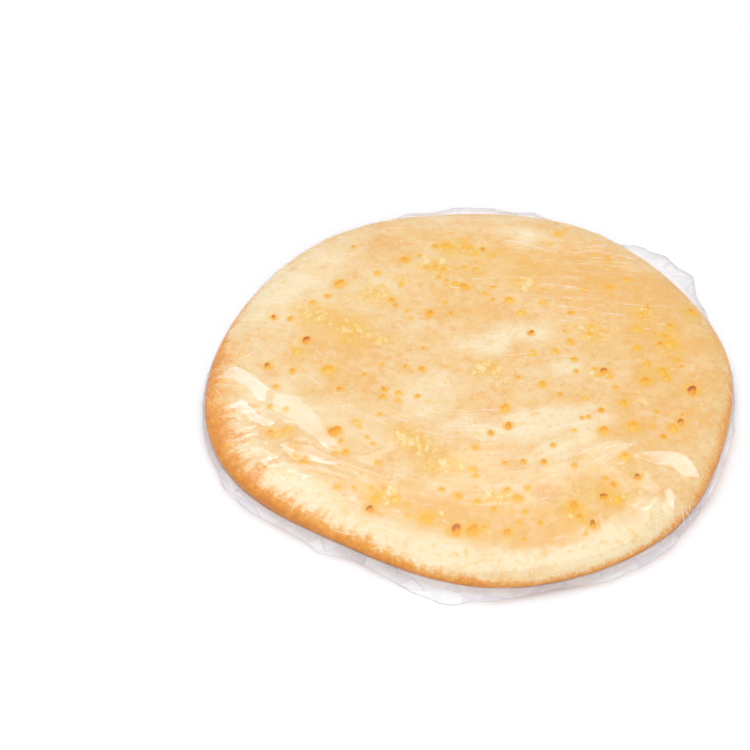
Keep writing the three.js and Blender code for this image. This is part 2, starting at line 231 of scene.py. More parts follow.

# Where the film is streaked with milk and painted sheen: x, y, half length, half width, turn in degrees,
# strength.
HAZE_AND_SHEEN_AREAS = [
    (0, -32, 34, 14, 20, 0.8), (40, -56, 26, 9, 20, 0.6), (-22, -74, 34, 8, -20, 0.4),
    (16, 28, 30, 9, 28, 0.7), (60, 92, 30, 9, -12, 0.6), (-88, 52, 36, 14, 54, 0.3),
    (66, 44, 20, 6, -4, 0.5), (20, 104, 26, 6, -4, 0.5), (66, -46, 18, 7, 10, 0.5),
    (-50, -34, 20, 10, -40, 0.4),
]

# Thin creases that catch the light, with a painted highlight as well: x, y at one end and x, y at the other.
CREASES = [
    (-95, 17, -88, 8), (-78, 14, -70, 6), (-78, -6, -71, -16), (-30, 80, -25, 74), (-22, 1, -8, -4),
    (10, 99, 22, 97), (22, 97, 33, 93), (22, 94, 40, 90), (40, 90, 62, 97), (48, 85, 58, 90),
    (60, 84, 77, 82), (70, 79, 78, 77), (66, 88, 78, 91), (28, 66, 50, 64), (60, 55, 100, 58),
    (60, 48, 72, 47), (110, 14, 116, 9), (55, 105, 62, 106), (106, -11, 110, -13), (117, -2, 121, -7),
    (119, 7, 123, 0), (98, -23, 101, -24), (103, -23, 106, -21), (-62, -98, -48, -103),
    (-58, -95, -50, -98), (97, -72, 98, -86), (98, -72, 102, -81), (30, -38, 56, -28),
    (8, -42, 34, -33), (-112, 4, -104, 12), (-52, 34, -46, 27), (14, 12, 30, 17), (84, -94, 92, -88),
    (36, -60, 60, -52), (-100, -64, -88, -74), (45, 84, 54, 88.5), (54, 88.5, 63, 90.5),
    (23, 94.5, 35, 91), (51, 96, 64, 100.5), (56, 84, 78, 83), (39, 62.5, 45, 65), (45, 65, 55, 62),
    (47, 48.5, 58, 47.5), (58, 47.5, 70, 47), (11, 98, 23, 96.5), (11, -121.5, 13, -117),
    (15, -121.5, 16, -118), (18.5, -121.5, 18, -116), (21, -121, 20.5, -117.5), (24, -120, 25, -115.5),
    (27.5, -120, 27, -116), (31, -119, 30, -116.5), (97, -66.5, 101, -70), (101, -70, 101.5, -75),
    (108.5, -46.5, 110.5, -50), (110.5, -50, 110, -54.5),
]
LOOSE_CREASES = 80

# Fineness of the meshes.
TOP_RINGS = 130
FILM_RINGS = 128
SIDE_RINGS = 14
SKIRT_RINGS = 22
UNDER_RINGS = 6
UNDERSIDE_HEIGHT = 0.5  # the bread's underside above the floor, clear of the film under it

# Seeds of the random draws.
SPOT_SEED = 7
CRUMB_SEED = 8
FACET_SEED = 72
PUFF_SEED = 73
CREASE_SEED = 74
RIDGE_SEED = 75


# Camera

PHOTO_SIDE = 750.0  # pixels
FOCAL_PIXELS = 3100.0  # from the square pack's corners
VIEW_ELEVATION = 44.0  # degrees above the bread's top
VIEW_ROLL = 3.0
BREAD_AT = (473.7, 387.6)  # the bread's middle in the photograph, in pixels
AIM_HEIGHT = 8.5  # of that middle above the floor
RADIUS_PIXELS = 263.5
SENSOR = 36.0
CLIP_RANGE = (0.05, 50)  # metres


def add_object(name, data):
    made = bpy.data.objects.new(name, data)
    bpy.context.scene.collection.objects.link(made)
    return made


def make_camera():
    data = bpy.data.cameras.new("camera")
    data.sensor_width = SENSOR
    data.lens = FOCAL_PIXELS / PHOTO_SIDE * SENSOR
    data.clip_start, data.clip_end = CLIP_RANGE
    tilt = Matrix.Rotation(math.radians(90 - VIEW_ELEVATION), 3, "X")
    axes = tilt @ Matrix.Rotation(math.radians(VIEW_ROLL), 3, "Z")
    half = PHOTO_SIDE / 2
    towards = Vector((BREAD_AT[0] - half, half - BREAD_AT[1], -FOCAL_PIXELS)).normalized()
    pan = towards.rotation_difference(Vector((0, 0, -1))).to_matrix()
    middle = Vector((-MIDDLE[0], -MIDDLE[1], AIM_HEIGHT)) * MM
    back = tilt.col[2] * (FOCAL_PIXELS / RADIUS_PIXELS * BREAD_RADIUS * MM)
    camera = add_object("camera", data)
    camera.matrix_world = Matrix.Translation(middle + back) @ (axes @ pan).to_4x4()
    bpy.context.scene.camera = camera


# Shape of the bread and film

def smoothstep(low, high, value):
    t = np.clip((value - low) / (high - low), 0, 1)
    return t * t * (3 - 2 * t)


def polar(radius, angle):
    return radius * np.cos(angle), radius * np.sin(angle)


def turned(x, y, turn):
    """How far along and across axes that are turned by an angle the points lie."""
    c, s = np.cos(turn), np.sin(turn)
    return c * x + s * y, c * y - s * x


def outline(angle):
    waves = sum(share * np.cos(count * angle - math.radians(phase)) for count, share, phase in OUTLINE_WAVES)
    return BREAD_RADIUS * (1 + waves)


def share_at(x, y, most=0.99):
    """The share of the bread's radius at points, kept inside its rim, and their angle."""
    angle = np.arctan2(y, x)
    return np.minimum(np.hypot(x, y) / outline(angle), most), angle


def lumps(x, y):
    return LUMP_HEIGHT * sum(
        share * np.sin(turned(x, y, math.radians(direction))[0] / length * TAU + math.radians(phase))
        for share, length, direction, phase in LUMP_WAVES
    )


def shoulder_fall(share):
    return np.sqrt(np.maximum(0, 1 - share**SHOULDER_POWER))


def top_height(share, angle):
    """Height of the film's plain face over the top and shoulder, as in the model."""
    crown = CROWN_RISE * (1 - (share / VALLEY_SHARE) ** 2)
    relief = lumps(*polar(share * outline(angle), angle)) + np.maximum(0, crown) - valley_depth(share, angle)
    return WIDEST_HEIGHT + (BREAD_HEIGHT + FILM_STANDOFF - WIDEST_HEIGHT + relief) * shoulder_fall(share)


def valley_depth(share, angle):
    """The dip round the filling, where the shoulder begins."""
    back, front = VALLEY_DEPTHS
    depth = back + (front - back) * (1 - np.sin(angle)) / 2
    return depth * np.exp(-(((share - VALLEY_SHARE) / VALLEY_WIDTH) ** 2))


def share_at_height(height):
    up = (height - WIDEST_HEIGHT) / (BREAD_HEIGHT + FILM_STANDOFF - WIDEST_HEIGHT)
    return (1 - up * up) ** (1 / SHOULDER_POWER)


def pleat(angle):
    """Sharp waves of the film round its skirt."""
    return sum(
        share * (2 / math.pi) * np.arcsin(np.sin(count * angle + bend * np.sin(slow * angle + count)))
        for count, share, slow, bend in PLEAT_WAVES
    )


def skirt(angle):
    """How far the loose film stands out past the outline, and how high its tip lies, as in the model."""
    reach = np.full_like(angle, SKIRT_REACH)
    lift = np.full_like(angle, SKIRT_LIFT)
    for direction, half_width, flap_reach, flap_height in FILM_FLAPS:
        turn = angle - math.radians(direction)
        away = np.arctan2(np.sin(turn), np.cos(turn))
        near = np.exp(-((away / math.radians(half_width)) ** 2))
        reach = reach + flap_reach * near
        lift = lift + flap_height * near
    return reach * (1 + PLEAT_REACH * pleat(angle)), lift


def model_middle():
    """The middle of the model's bounding box about the bread's middle, in millimetres."""
    angle = np.arange(MODEL_STEPS) / MODEL_STEPS * TAU
    x, y = polar(outline(angle) + skirt(angle)[0], angle)
    return np.array([(x.min() + x.max()) / 2, (y.min() + y.max()) / 2, 0.0])


MIDDLE = model_middle()
NOISE_SIDE = 32  # cells, after which the noise repeats
NOISE_SHIFT = 3.7  # cells between the noise of one seed and of the next
GRAIN_TURN = 0.45  # degrees in each millimetre to the right
GRAIN_FRONT = (50, -10)  # the places along y where the grain begins to turn and turns fully


def noise(points, cell, seed):
    """Smooth noise from -1 to 1 at points in millimetres, with one lattice value in each cell."""
    lattice = np.random.RandomState(seed).uniform(-1, 1, (NOISE_SIDE, NOISE_SIDE, NOISE_SIDE))
    q = np.asarray(points, float) / cell + seed * NOISE_SHIFT
    whole = np.floor(q).astype(int)
    part = q - whole
    part = part * part * (3 - 2 * part)
    total = np.zeros(len(q))
    for corner in range(8):
        bits = [(corner >> axis) & 1 for axis in range(3)]
        weight = np.prod([part[:, k] if bits[k] else 1 - part[:, k] for k in range(3)], axis=0)
        total += weight * lattice[tuple((whole[:, k] + bits[k]) % NOISE_SIDE for k in range(3))]
    return total


def noises(points, layers):
    """Summed noises, each with a strength, a cell and a seed."""
    return sum(strength * noise(points, cell, seed) for strength, cell, seed in layers)


def flat(x, y):
    return np.stack([x, y, np.zeros_like(x)], axis=-1)


def area_sum(x, y, areas):
    """The summed strength of soft-edged ellipses: x, y, half length, half width, turn, strength."""
    total = np.zeros_like(x)
    for px, py, half_length, half_width, turn, amount in areas:
        along, across = turned(x - px, y - py, math.radians(turn))
        total += amount * np.exp(-(((along / half_length) ** 2 + (across / half_width) ** 2) ** 1.5))
    return total


def warped(x, y, *steps):
    """Points moved about by noise of a cell, strength and seed, so that borders come out uneven."""
    for cell, strength, seed in steps:
        p = flat(x, y)
        x, y = x + strength * noise(p, cell, seed), y + strength * noise(p, cell, seed + 1)
    return x, y


def round_grain(x, y):
    """A turned frame for streaks: they slope down at the left of the front, up at its right, level behind."""
    return turned(x, y, math.radians(GRAIN_TURN) * x * smoothstep(*GRAIN_FRONT, y))


def grain_attributes(points):
    return dict(zip(("along", "across"), round_grain(points[:, 0], points[:, 1])))


# Meshes

RING_SHRINK = 0.72  # from each ring of the underside to the next
FAN_CORNERS = 16  # at most, of the fan that closes the underside
SECTION_STEPS = 4000


def disc_grid(rings):
    """A square grid bent to a disc: each point's share of the radius and angle, the quads, the edge loop."""
    i, j = np.meshgrid(np.arange(-rings, rings + 1), np.arange(-rings, rings + 1), indexing="ij")
    u, v = i / rings, j / rings
    wide = np.abs(u) > np.abs(v)
    with np.errstate(divide="ignore", invalid="ignore"):
        angle = np.where(wide, (math.pi / 4) * v / u, math.pi / 2 - (math.pi / 4) * u / v)
    angle = np.nan_to_num(angle) + math.pi * (np.where(wide, u, v) < 0)
    share = np.maximum(np.abs(u), np.abs(v))
    index = np.arange(u.size).reshape(u.shape)
    quads = np.stack([index[:-1, :-1], index[1:, :-1], index[1:, 1:], index[:-1, 1:]], axis=-1)
    edge = np.concatenate([index[:-1, 0], index[-1, :-1], index[:0:-1, -1], index[0, :0:-1]])
    return share.ravel(), angle.ravel(), quads.reshape(-1, 4).tolist(), edge


def band(inner, outer):
    """Quads between two closed loops of numbered points."""
    return np.stack([inner, outer, np.roll(outer, -1), np.roll(inner, -1)], axis=-1).tolist()


def repeated(faces, count, size):
    """The faces of many like parts, each with the same number of points."""
    return [[part * size + corner for corner in face] for part in range(count) for face in faces]


class Shell:
    """A closed surface: a bent grid on top, rings down its side, and a coarse underside."""

    def __init__(self, rings):
        self.grid_share, self.angle, self.faces, self.loop = disc_grid(rings)
        self.share = even_shares(self.grid_share)
        self.loop_angle = self.angle[self.loop]

    def set_top(self, x, y, height):
        self.points = list(np.stack([x, y, height], axis=-1))

    def add_ring(self, radius, height):
        start = len(self.points)
        ring = np.stack(np.broadcast_arrays(*polar(radius, self.loop_angle), height), axis=-1)
        self.points.extend(ring)
        loop = np.arange(start, len(self.points))
        self.faces += band(self.loop, loop)
        self.loop = loop

    def close_below(self, height):
        """Halves the ring inwards again and again at a height, and ends in a fan."""
        edge = np.array([self.points[k] for k in self.loop])
        middle = edge.mean(axis=0)
        shrink = 1.0
        while len(self.loop) % 2 == 0 and len(self.loop) > FAN_CORNERS:
            shrink *= RING_SHRINK
            count, start = len(self.loop) // 2, len(self.points)
            ring = middle + (edge[:: len(edge) // count] - middle) * shrink
            ring[:, 2] = height
            self.points.extend(ring)
            for k in range(count):
                a, b, c = self.loop[2 * k], self.loop[2 * k + 1], self.loop[(2 * k + 2) % len(self.loop)]
                p, q = start + k, start + (k + 1) % count
                self.faces += [[a, p, b], [b, p, q], [b, q, c]]
            self.loop = np.arange(start, start + count)
        tip = len(self.points)
        self.points.append(np.array([middle[0], middle[1], height]))
        self.faces += [[a, tip, b] for a, b in zip(self.loop, np.roll(self.loop, -1))]


def mesh_object(name, points, faces, material, attributes):
    """A smooth mesh from points in millimetres about the bread's middle, riding on the part's body."""
    placed = (np.asarray(points, float) - MIDDLE) * MM
    mesh = bpy.data.meshes.new(name)
    mesh.from_pydata(placed.tolist(), [], [list(map(int, face)) for face in faces])
    mesh.update()
    mesh.polygons.foreach_set("use_smooth", [True] * len(mesh.polygons))
    for key, values in attributes.items():
        layer = mesh.attributes.new(key, "FLOAT", "POINT")
        layer.data.foreach_set("value", np.asarray(values, np.float32))
    mesh.materials.append(material)
    piece = add_object(name, mesh)
    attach(piece, BODY)
    return piece


def point_normals(points, faces):
    """Unit normals at the points of a mesh of quads and triangles."""
    normals = np.zeros_like(points)
    for size in (3, 4):
        chosen = np.array([face for face in faces if len(face) == size])
        corners = points[chosen]
        across = np.cross(corners[:, 2] - corners[:, 0], corners[:, 3 % size] - corners[:, 1])
        for corner in range(size):
            np.add.at(normals, chosen[:, corner], across)
    return normals / np.maximum(np.linalg.norm(normals, axis=1), 1e-9)[:, None]


def even_shares(steps):
    """Shares of the radius at shares of the way along the section of the top and shoulder."""
    fine = np.linspace(0, 1, SECTION_STEPS)
    height = (BREAD_HEIGHT - WIDEST_HEIGHT) * shoulder_fall(fine)
    along = np.concatenate([[0], np.cumsum(np.hypot(np.diff(fine) * BREAD_RADIUS, np.diff(height)))])
    return np.interp(steps, along / along[-1], fine)


# Bread

EDGE_TUCK = 12.0  # how far the edge curls in below its widest point
FOOT_BLEND = 2.0  # the height over which the crust's relief begins
HALO_SHARES = (0.9, 1.95)  # of a spot's radius, between which its glow on the crust fades
SPOT_SPREAD = 1.12  # the whole mound over the part of it that shows its full colour
SPOTS = np.array([spot for spots, _, _ in BROWNING for spot in spots], float) * (1, 1, SPOT_SPREAD)

# Noise of the crust: strength, cell in millimetres, seed.
CRUST_SWELLS = [(0.16, 11, 11), (0.1, 5, 12), (0.05, 2.4, 13)]
PORE_DEPTH = 0.2
PORE_NOISE = (3.3, 14)
PORE_LEVELS = (0.6, 0.95)
PALE_LEVEL = 0.42
PALE_STREAKS = (0.07, (26, 6, 1), 27)
PALE_MOTTLE = [(0.04, 6, 28), (0.1, 12, 29)]
EDGE_NOISE = [(0.7, 8, 31), (0.5, 3, 32)]
EDGE_PLEATS = [(0.9, 2.2, 33)]

# How areas of colour are moved about: cell in millimetres, strength, seed.
PALE_WARPS = [(15, 5, 21), (5, 2.5, 24)]
TINTS = {
    "yellow": (YELLOW_AREAS, (6, 2, 34)), "peach": (PEACH_AREAS, (6, 2, 36)),
    "curd": ([(*field[:5], 1.0) for field in CURD_FIELDS], (7, 2, 38)),
}

# The browned side.
UNPLEATED_TOWARDS = 20  # degrees; pleats draw the brown edge out on the other side
PLEATED_BETWEEN = (0.1, -0.5)  # cosines of the turn from there, between which the pleats begin
PLEAT_GRAIN = 0.12  # how much slower the pleats change down the side than round it
PALER_TOWARDS = -30
PALER_BETWEEN = (0.3, 0.9)
PALER_BY = 0.06
BROWN_FADES = [(0.35, -0.8, 2.0), (0.65, 0.5, 7)]  # shares of the brown, and the depths where each grows


def crust_relief(points):
    """Unevenness of the baked dough, in millimetres along the surface's normal."""
    return noises(points, CRUST_SWELLS) - PORE_DEPTH * smoothstep(*PORE_LEVELS, noise(points, *PORE_NOISE))


def crust_height(x, y):
    """Height of the uneven crust at points of the top."""
    plain = top_height(*share_at(x, y, 0.999)) - FILM_STANDOFF
    return plain + crust_relief(np.stack([x, y, plain], axis=-1))


def paleness_and_sheen(x, y):
    """How pale the crust is, from 0 to 1, with painted sheen of the film: broad areas with uneven borders,
    streaks and mottling.
    """
    wx, wy = warped(x, y, *PALE_WARPS)
    pale = PALE_LEVEL + area_sum(wx, wy, CREAM_AND_SHEEN_AREAS) - area_sum(wx, wy, TAN_AREAS)
    strength, cell, seed = PALE_STREAKS
    drawn = noise(flat(*round_grain(x, y)) / cell, 1, seed)
    return np.clip(pale + strength * drawn + noises(flat(x, y), PALE_MOTTLE), 0, 1)


def spot_field(x, y, reach, value):
    """The most that any spot gives at points: a value of the distance in radii and of the radius."""
    most = np.zeros_like(x)
    for px, py, radius in SPOTS:
        near = np.nonzero(np.abs(x - px) + np.abs(y - py) < reach * radius)[0]
        away = np.hypot(x[near] - px, y[near] - py) / radius
        most[near] = np.maximum(most[near], value(away, radius))
    return most


def spot_glow(x, y):
    """One inside a spot of cheese, and fading round it."""
    inner, outer = HALO_SHARES
    return spot_field(x, y, 5, lambda away, radius: smoothstep(outer, inner, away))


def side_brown(points):
    """How browned the side is: from its uneven upper edge down."""
    angle = np.arctan2(points[:, 1], points[:, 0])
    edge = np.interp(np.degrees(angle), *zip(*BROWN_EDGE), period=360) + noises(points, EDGE_NOISE)
    pleated = smoothstep(*PLEATED_BETWEEN, np.cos(angle - math.radians(UNPLEATED_TOWARDS)))
    edge = edge + pleated * noises(flat(angle * BREAD_RADIUS, PLEAT_GRAIN * points[:, 2]), EDGE_PLEATS)
    paler = PALER_BY * smoothstep(*PALER_BETWEEN, np.cos(angle - math.radians(PALER_TOWARDS)))
    depth = edge - points[:, 2]
    return (1 - paler) * sum(share * smoothstep(low, high, depth) for share, low, high in BROWN_FADES)


def side_tuck(height):
    """How far the side lies in from the outline at a height."""
    fallen = np.clip((WIDEST_HEIGHT - height) / (WIDEST_HEIGHT - UNDERSIDE_HEIGHT), 0, 1)
    return EDGE_TUCK * (1 - np.sqrt(1 - fallen**2))


def make_bread(material):
    shell = Shell(TOP_RINGS)
    x, y = polar(shell.share * outline(shell.angle), shell.angle)
    standoff = FILM_STANDOFF * shoulder_fall(shell.share)
    shell.set_top(x, y, top_height(shell.share, shell.angle) - standoff)
    for bend in np.linspace(0, math.pi / 2, SIDE_RINGS + 1)[1:]:
        height = WIDEST_HEIGHT - (WIDEST_HEIGHT - UNDERSIDE_HEIGHT) * math.sin(bend)
        shell.add_ring(outline(shell.loop_angle) - EDGE_TUCK * (1 - math.cos(bend)), height)
    shell.close_below(UNDERSIDE_HEIGHT)
    points = np.array(shell.points)
    x, y = points[:, 0], points[:, 1]
    attributes = {
        key: np.clip(area_sum(*warped(x, y, warp), areas), 0, 1) for key, (areas, warp) in TINTS.items()
    }
    # pale holds painted sheen of the film in the cream areas, as well as the crust's own paleness.
    attributes |= {
        **grain_attributes(points), "pale": paleness_and_sheen(x, y),
        "brown": side_brown(points), "cheese": spot_glow(x, y),
    }
    above_foot = smoothstep(UNDERSIDE_HEIGHT, UNDERSIDE_HEIGHT + FOOT_BLEND, points[:, 2])
    points = points + point_normals(points, shell.faces) * (crust_relief(points) * above_foot)[:, None]
    bread = mesh_object("khachapuri", points, shell.faces, material, attributes)
    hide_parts(NODE)


# Cheese

DOME_SINK = 0.45  # how far a dome's skirt reaches into the crust
DOME_DEEP = 0.3  # how much further its underside reaches
DOME_SHAPE = (0.88, 1.28)  # spread along x and y
DOME_FOOT = 1.02  # radii, where the sunk skirt stands
DOME_LOBES = (0.13, 0.1)  # swelling in two and in three lobes
RIM_SINK = 0.06  # how far a mound's rim lies below the crust
RUFFLES = [(0.25, 0.9, 51)]
SPOT_RINGS = (0.22, 0.42, 0.6, 0.76, 0.9, 1.0)
CRUMB_RINGS = (0.35, 0.7, 1.0)
SPOT_SIDES = 18
CRUMB_SIDES = 10
SPOT_STRETCHES = (0.85, 1.18)
CRUMB_STRETCHES = (0.75, 1.35)
CRUMB_SIZES = (0.9, 3.3)
STRAY_SIZES = (0.5, 0.95)
STRAY_SPAN = 0.75  # the share of the bread's face over which stray crumbs lie
TOAST_SPREAD = 0.05
CAP_SLOPE = (-0.5, 0.85)  # along x and y, up to the back left, where the caps are
CAP_BETWEEN = (-0.35, 0.4)
SPOT_EDGE = 0.85  # how much of the glow shows at a spot's edge, and at a crumb's
CRUMB_EDGE = 0.35
CRUMB_TOAST = (-0.02, 0.08)


def spot_rise(radius):
    return 0.08 + 0.15 * radius


def crumb_rise(radius):
    return 0.06 + 0.09 * radius


def domes(places, reaches, sides, stretches, rise, draw):
    """Uneven low mounds that merge into the crust: points, faces, and each point's offset in radii."""
    count, rim = len(places), len(reaches) * sides
    around = np.arange(sides) / sides * TAU
    phase = draw.uniform(0, TAU, (count, 3))
    stretch = draw.uniform(*stretches, count)[:, None, None]
    swell = 1 + sum(
        share * np.sin((k + 2) * around + phase[:, k:k + 1]) for k, share in enumerate(DOME_LOBES)
    )
    u, v = polar(np.array([*reaches, DOME_FOOT])[None, :, None] * swell[:, None, :], around)
    u, v = turned(u * stretch, v / stretch, -phase[:, 2, None, None])
    ends = np.zeros((count, 2))
    u = np.concatenate([(u * DOME_SHAPE[0]).reshape(count, -1), ends], axis=1)
    v = np.concatenate([(v * DOME_SHAPE[1]).reshape(count, -1), ends], axis=1)
    radius = places[:, 2:3]
    x, y = places[:, :1] + u * radius, places[:, 1:2] + v * radius
    away = np.concatenate([np.repeat([*reaches, DOME_FOOT], sides), [0, 0]])
    bell = 0.5 + 0.5 * np.cos(math.pi * np.minimum(away, 1))
    height = crust_height(x.ravel(), y.ravel()).reshape(x.shape)
    ruffle = 1 + noises(flat(x.ravel(), y.ravel()), RUFFLES).reshape(x.shape)
    height = height + rise(radius) * bell * ruffle - RIM_SINK * (away >= 1)
    height[:, rim:rim + sides] -= DOME_SINK
    height[:, -2] -= DOME_SINK + rise(radius[:, 0]) + DOME_DEEP
    points = np.stack([x, y, height], axis=-1)
    faces = repeated(dome_faces(len(reaches) + 1, sides), count, points.shape[1])
    return points.reshape(-1, 3), faces, u, v, away


def dome_faces(rings, sides):
    """Faces of one mound: a fan at its top, bands outwards, and a fan underneath."""
    below, top = rings * sides, rings * sides + 1
    loops = np.arange(below).reshape(rings, sides)
    faces = [[top, a, b] for a, b in zip(loops[0], np.roll(loops[0], -1))]
    for inner, outer in zip(loops, loops[1:]):
        faces += band(inner, outer)
    return faces + [[below, b, a] for a, b in zip(loops[-1], np.roll(loops[-1], -1))]


def make_cheese(material):
    """The melted spots: yellow to brown, with a darker cap at the back left of the browned ones."""
    draw = np.random.RandomState(SPOT_SEED)
    base = np.concatenate([draw.normal(level, TOAST_SPREAD, len(spots)) for spots, level, _ in BROWNING])
    cap = np.concatenate([np.full(len(spots), strength) for spots, _, strength in BROWNING])
    points, faces, u, v, away = domes(SPOTS, SPOT_RINGS, SPOT_SIDES, SPOT_STRETCHES, spot_rise, draw)
    capped = smoothstep(*CAP_BETWEEN, CAP_SLOPE[0] * u + CAP_SLOPE[1] * v) * smoothstep(1.0, 0.75, away)
    attributes = {
        "toast": np.clip(base[:, None] + cap[:, None] * capped, 0, 1).ravel(),
        "edge": np.tile(SPOT_EDGE * smoothstep(0.8, 1.0, away), len(SPOTS)),
    }
    piece = mesh_object("cheese_spots", points, faces, material, attributes)


def make_crumbs(material):
    """Small pale curds in their fields, and a few strays between them."""
    draw = np.random.RandomState(CRUMB_SEED)
    places = []
    for x, y, half_length, half_width, turn, count in CURD_FIELDS:
        spread = draw.normal(0, 0.5, (2, count)) * [[half_length], [half_width]]
        size = draw.uniform(*CRUMB_SIZES, count) * draw.uniform(0.6, 1, count)
        u, v = turned(*spread, -math.radians(turn))
        places += zip(x + u, y + v, size)
    angle, reach = draw.uniform(0, TAU, STRAY_CRUMBS), np.sqrt(draw.uniform(0, STRAY_SPAN, STRAY_CRUMBS))
    places += zip(*polar(reach * BREAD_RADIUS, angle), draw.uniform(*STRAY_SIZES, STRAY_CRUMBS))
    places = np.array(places)
    apart = np.hypot(places[:, :1] - SPOTS[:, 0], places[:, 1:2] - SPOTS[:, 1])
    places = places[(apart > SPOTS[:, 2] + 0.8 * places[:, 2:]).all(axis=1)]
    shape = (CRUMB_RINGS, CRUMB_SIDES, CRUMB_STRETCHES, crumb_rise)
    points, faces, u, _, away = domes(places, *shape, draw)
    attributes = {
        "toast": np.repeat(draw.uniform(*CRUMB_TOAST, len(places)), u.shape[1]),
        "edge": np.tile(CRUMB_EDGE * smoothstep(0.2, 1.0, away), len(places)),
    }
    piece = mesh_object("curd_crumbs", points, faces, material, attributes)


# Film

EDGE_SLACK = 1e-9  # shares of a facet, by which a point on its edge may miss it


def in_box(x, y, corners, margin=0):
    """The numbers of the points that lie in the box round some corners."""
    low, high = np.min(corners, axis=0) - margin, np.max(corners, axis=0) + margin
    return np.nonzero((x >= low[0]) & (x <= high[0]) & (y >= low[1]) & (y <= high[1]))[0]


class Facets:
    """Flat facets stretched between knots given as x, y, height."""

    def __init__(self, knots):
        made = delaunay_2d_cdt([Vector((k[0], k[1])) for k in knots], [], [], 0, 1e-4)
        corners = np.array(made[2])
        self.corners = np.array([tuple(spot) for spot in made[0]])[corners]
        self.heights = np.array([knots[origin[0]][2] for origin in made[3]])[corners]

    def sample(self, x, y):
        """Height at points, the number of the facet there, and how far its nearest edge is, up to a third."""
        total, facet, inwards = np.zeros_like(x), np.zeros(len(x), int), np.zeros_like(x)
        for number, (corners, heights) in enumerate(zip(self.corners, self.heights)):
            near = in_box(x, y, corners)
            px, py = x[near] - corners[0, 0], y[near] - corners[0, 1]
            (bx, by), (cx, cy) = corners[1:] - corners[0]
            v, w = (px * cy - py * cx) / (bx * cy - cx * by), (bx * py - px * by) / (bx * cy - cx * by)
            shares = np.stack([1 - v - w, v, w])
            inside = shares.min(axis=0) >= -EDGE_SLACK
            near, shares = near[inside], shares[:, inside]
            total[near] = heights @ shares
            facet[near] = number
            inwards[near] = shares.min(axis=0)
        return total, facet, inwards


def scattered(draw, count, spacing, low, high, heights):
    """Random knots in a box, none closer than the spacing to another."""
    knots = []
    for _ in range(count * 30):
        if len(knots) == count:
            break
        x, y = draw.uniform(low[0], high[0]), draw.uniform(low[1], high[1])
        if all(math.hypot(k[0] - x, k[1] - y) > spacing for k in knots):
            knots.append((x, y, draw.uniform(*heights)))
    return knots


def round_knots(draw, count, spacing, span, heights, period):
    """Knots that repeat round the rim: the angle times a scale, the place along the section, height."""
    knots = scattered(draw, count, spacing, (0, span[0]), (period, span[1]), heights)
    before = [(k[0] - period, k[1], k[2]) for k in knots if k[0] > 0.8 * period]
    after = [(k[0] + period, k[1], k[2]) for k in knots if k[0] < 0.2 * period]
    return knots + before + after


RIM_SPAN = (0.66, 1.04)  # shares of the radius over which the radial pleats run
RIM_SCALE = 12.0  # how much longer than wide the pleats are
RIM_STRETCH = 4.0
CORNERS = [(x, y, 0) for x, y in ((160, 160), (-160, 160), (160, -160), (-160, -160))]
FIELD = ((-130, -130), (130, 130))
DRAW = np.random.RandomState(FACET_SEED)
BROAD_FACETS = Facets(scattered(DRAW, 120, 15, *FIELD, (-0.1, 0.28)) + CORNERS)
FINE_FACETS = Facets(scattered(DRAW, 420, 7, *FIELD, (-0.1, 0.12)) + CORNERS)
RIM_LIMITS = (RIM_SPAN[0] * RIM_STRETCH, RIM_SPAN[1] * RIM_STRETCH)
RIM_FACETS = Facets(round_knots(DRAW, 330, 0.34, RIM_LIMITS, (-0.2, 0.3), TAU * RIM_SCALE))

SOFT_WARP = (22, 2, 41)  # cell in millimetres, strength, seed
LOOSE_SHARES = (0.35, 0.65)  # of the facets' height: everywhere, and more towards the left and right
LOOSE_BETWEEN = (25, 75)  # millimetres from the middle, between which it grows
LOOSE_MIDDLE = 20  # the place along y where it begins furthest out
LOOSE_LEAN = 0.3  # how much nearer it begins for each millimetre away from there
GATHERED_BETWEEN = (0.76, 0.92)  # shares of the radius, between which the radial pleats begin
BRIDGING = 0.6  # how much of a dip the film spans
BRIDGED_LUMP = 0.7  # the height of the lumps that the film rests on
LEAST_LIFT = 0.05
PLEAT_PATCHES = (30, 46)  # cell in millimetres, seed
PLEAT_SHARES = (0.3, 0.7)  # of the pleats' height: everywhere, and more in patches
SPOT_TENT = 3.2  # radii over which the film falls away from a spot
TENT_SINK = 0.15  # how far the film's tent lies below the top of the spot under it
SEAT_STEP = 0.8  # between the points where a tight facet is held clear of the softer film
SHINE_MARGIN = 0.3  # how far past a tight facet's edge its shine reaches
SIDE_DULL = 0.5  # how much less the film shines where it turns down, and over a spot of cheese
SPOT_DULL = 0.6


def soft_height(x, y, share, angle):
    """Height of the film over the top and shoulder, where it isn't pulled tight."""
    at = warped(x, y, SOFT_WARP)
    everywhere, sideways = LOOSE_SHARES
    outwards = np.abs(x) + LOOSE_LEAN * np.abs(y - LOOSE_MIDDLE)
    looseness = everywhere + sideways * smoothstep(*LOOSE_BETWEEN, outwards)
    plain, patches = PLEAT_SHARES
    where = plain + patches * smoothstep(-0.3, 0.4, noise(flat(x, y), *PLEAT_PATCHES))
    pleats = RIM_FACETS.sample(angle % TAU * RIM_SCALE, share * RIM_STRETCH)[0]
    lift = LEAST_LIFT + looseness * (BROAD_FACETS.sample(*at)[0] + FINE_FACETS.sample(*at)[0])
    dips = valley_depth(share, angle) + np.maximum(0, BRIDGED_LUMP - lumps(x, y))
    lift = lift + BRIDGING * dips + pleats * where * smoothstep(*GATHERED_BETWEEN, share)
    over = spot_field(
        x, y, 12, lambda away, radius: spot_rise(radius) * np.exp(-((away / SPOT_TENT) ** 2))
    )
    return top_height(share, angle) + np.maximum(np.maximum(lift, 0), over - TENT_SINK)


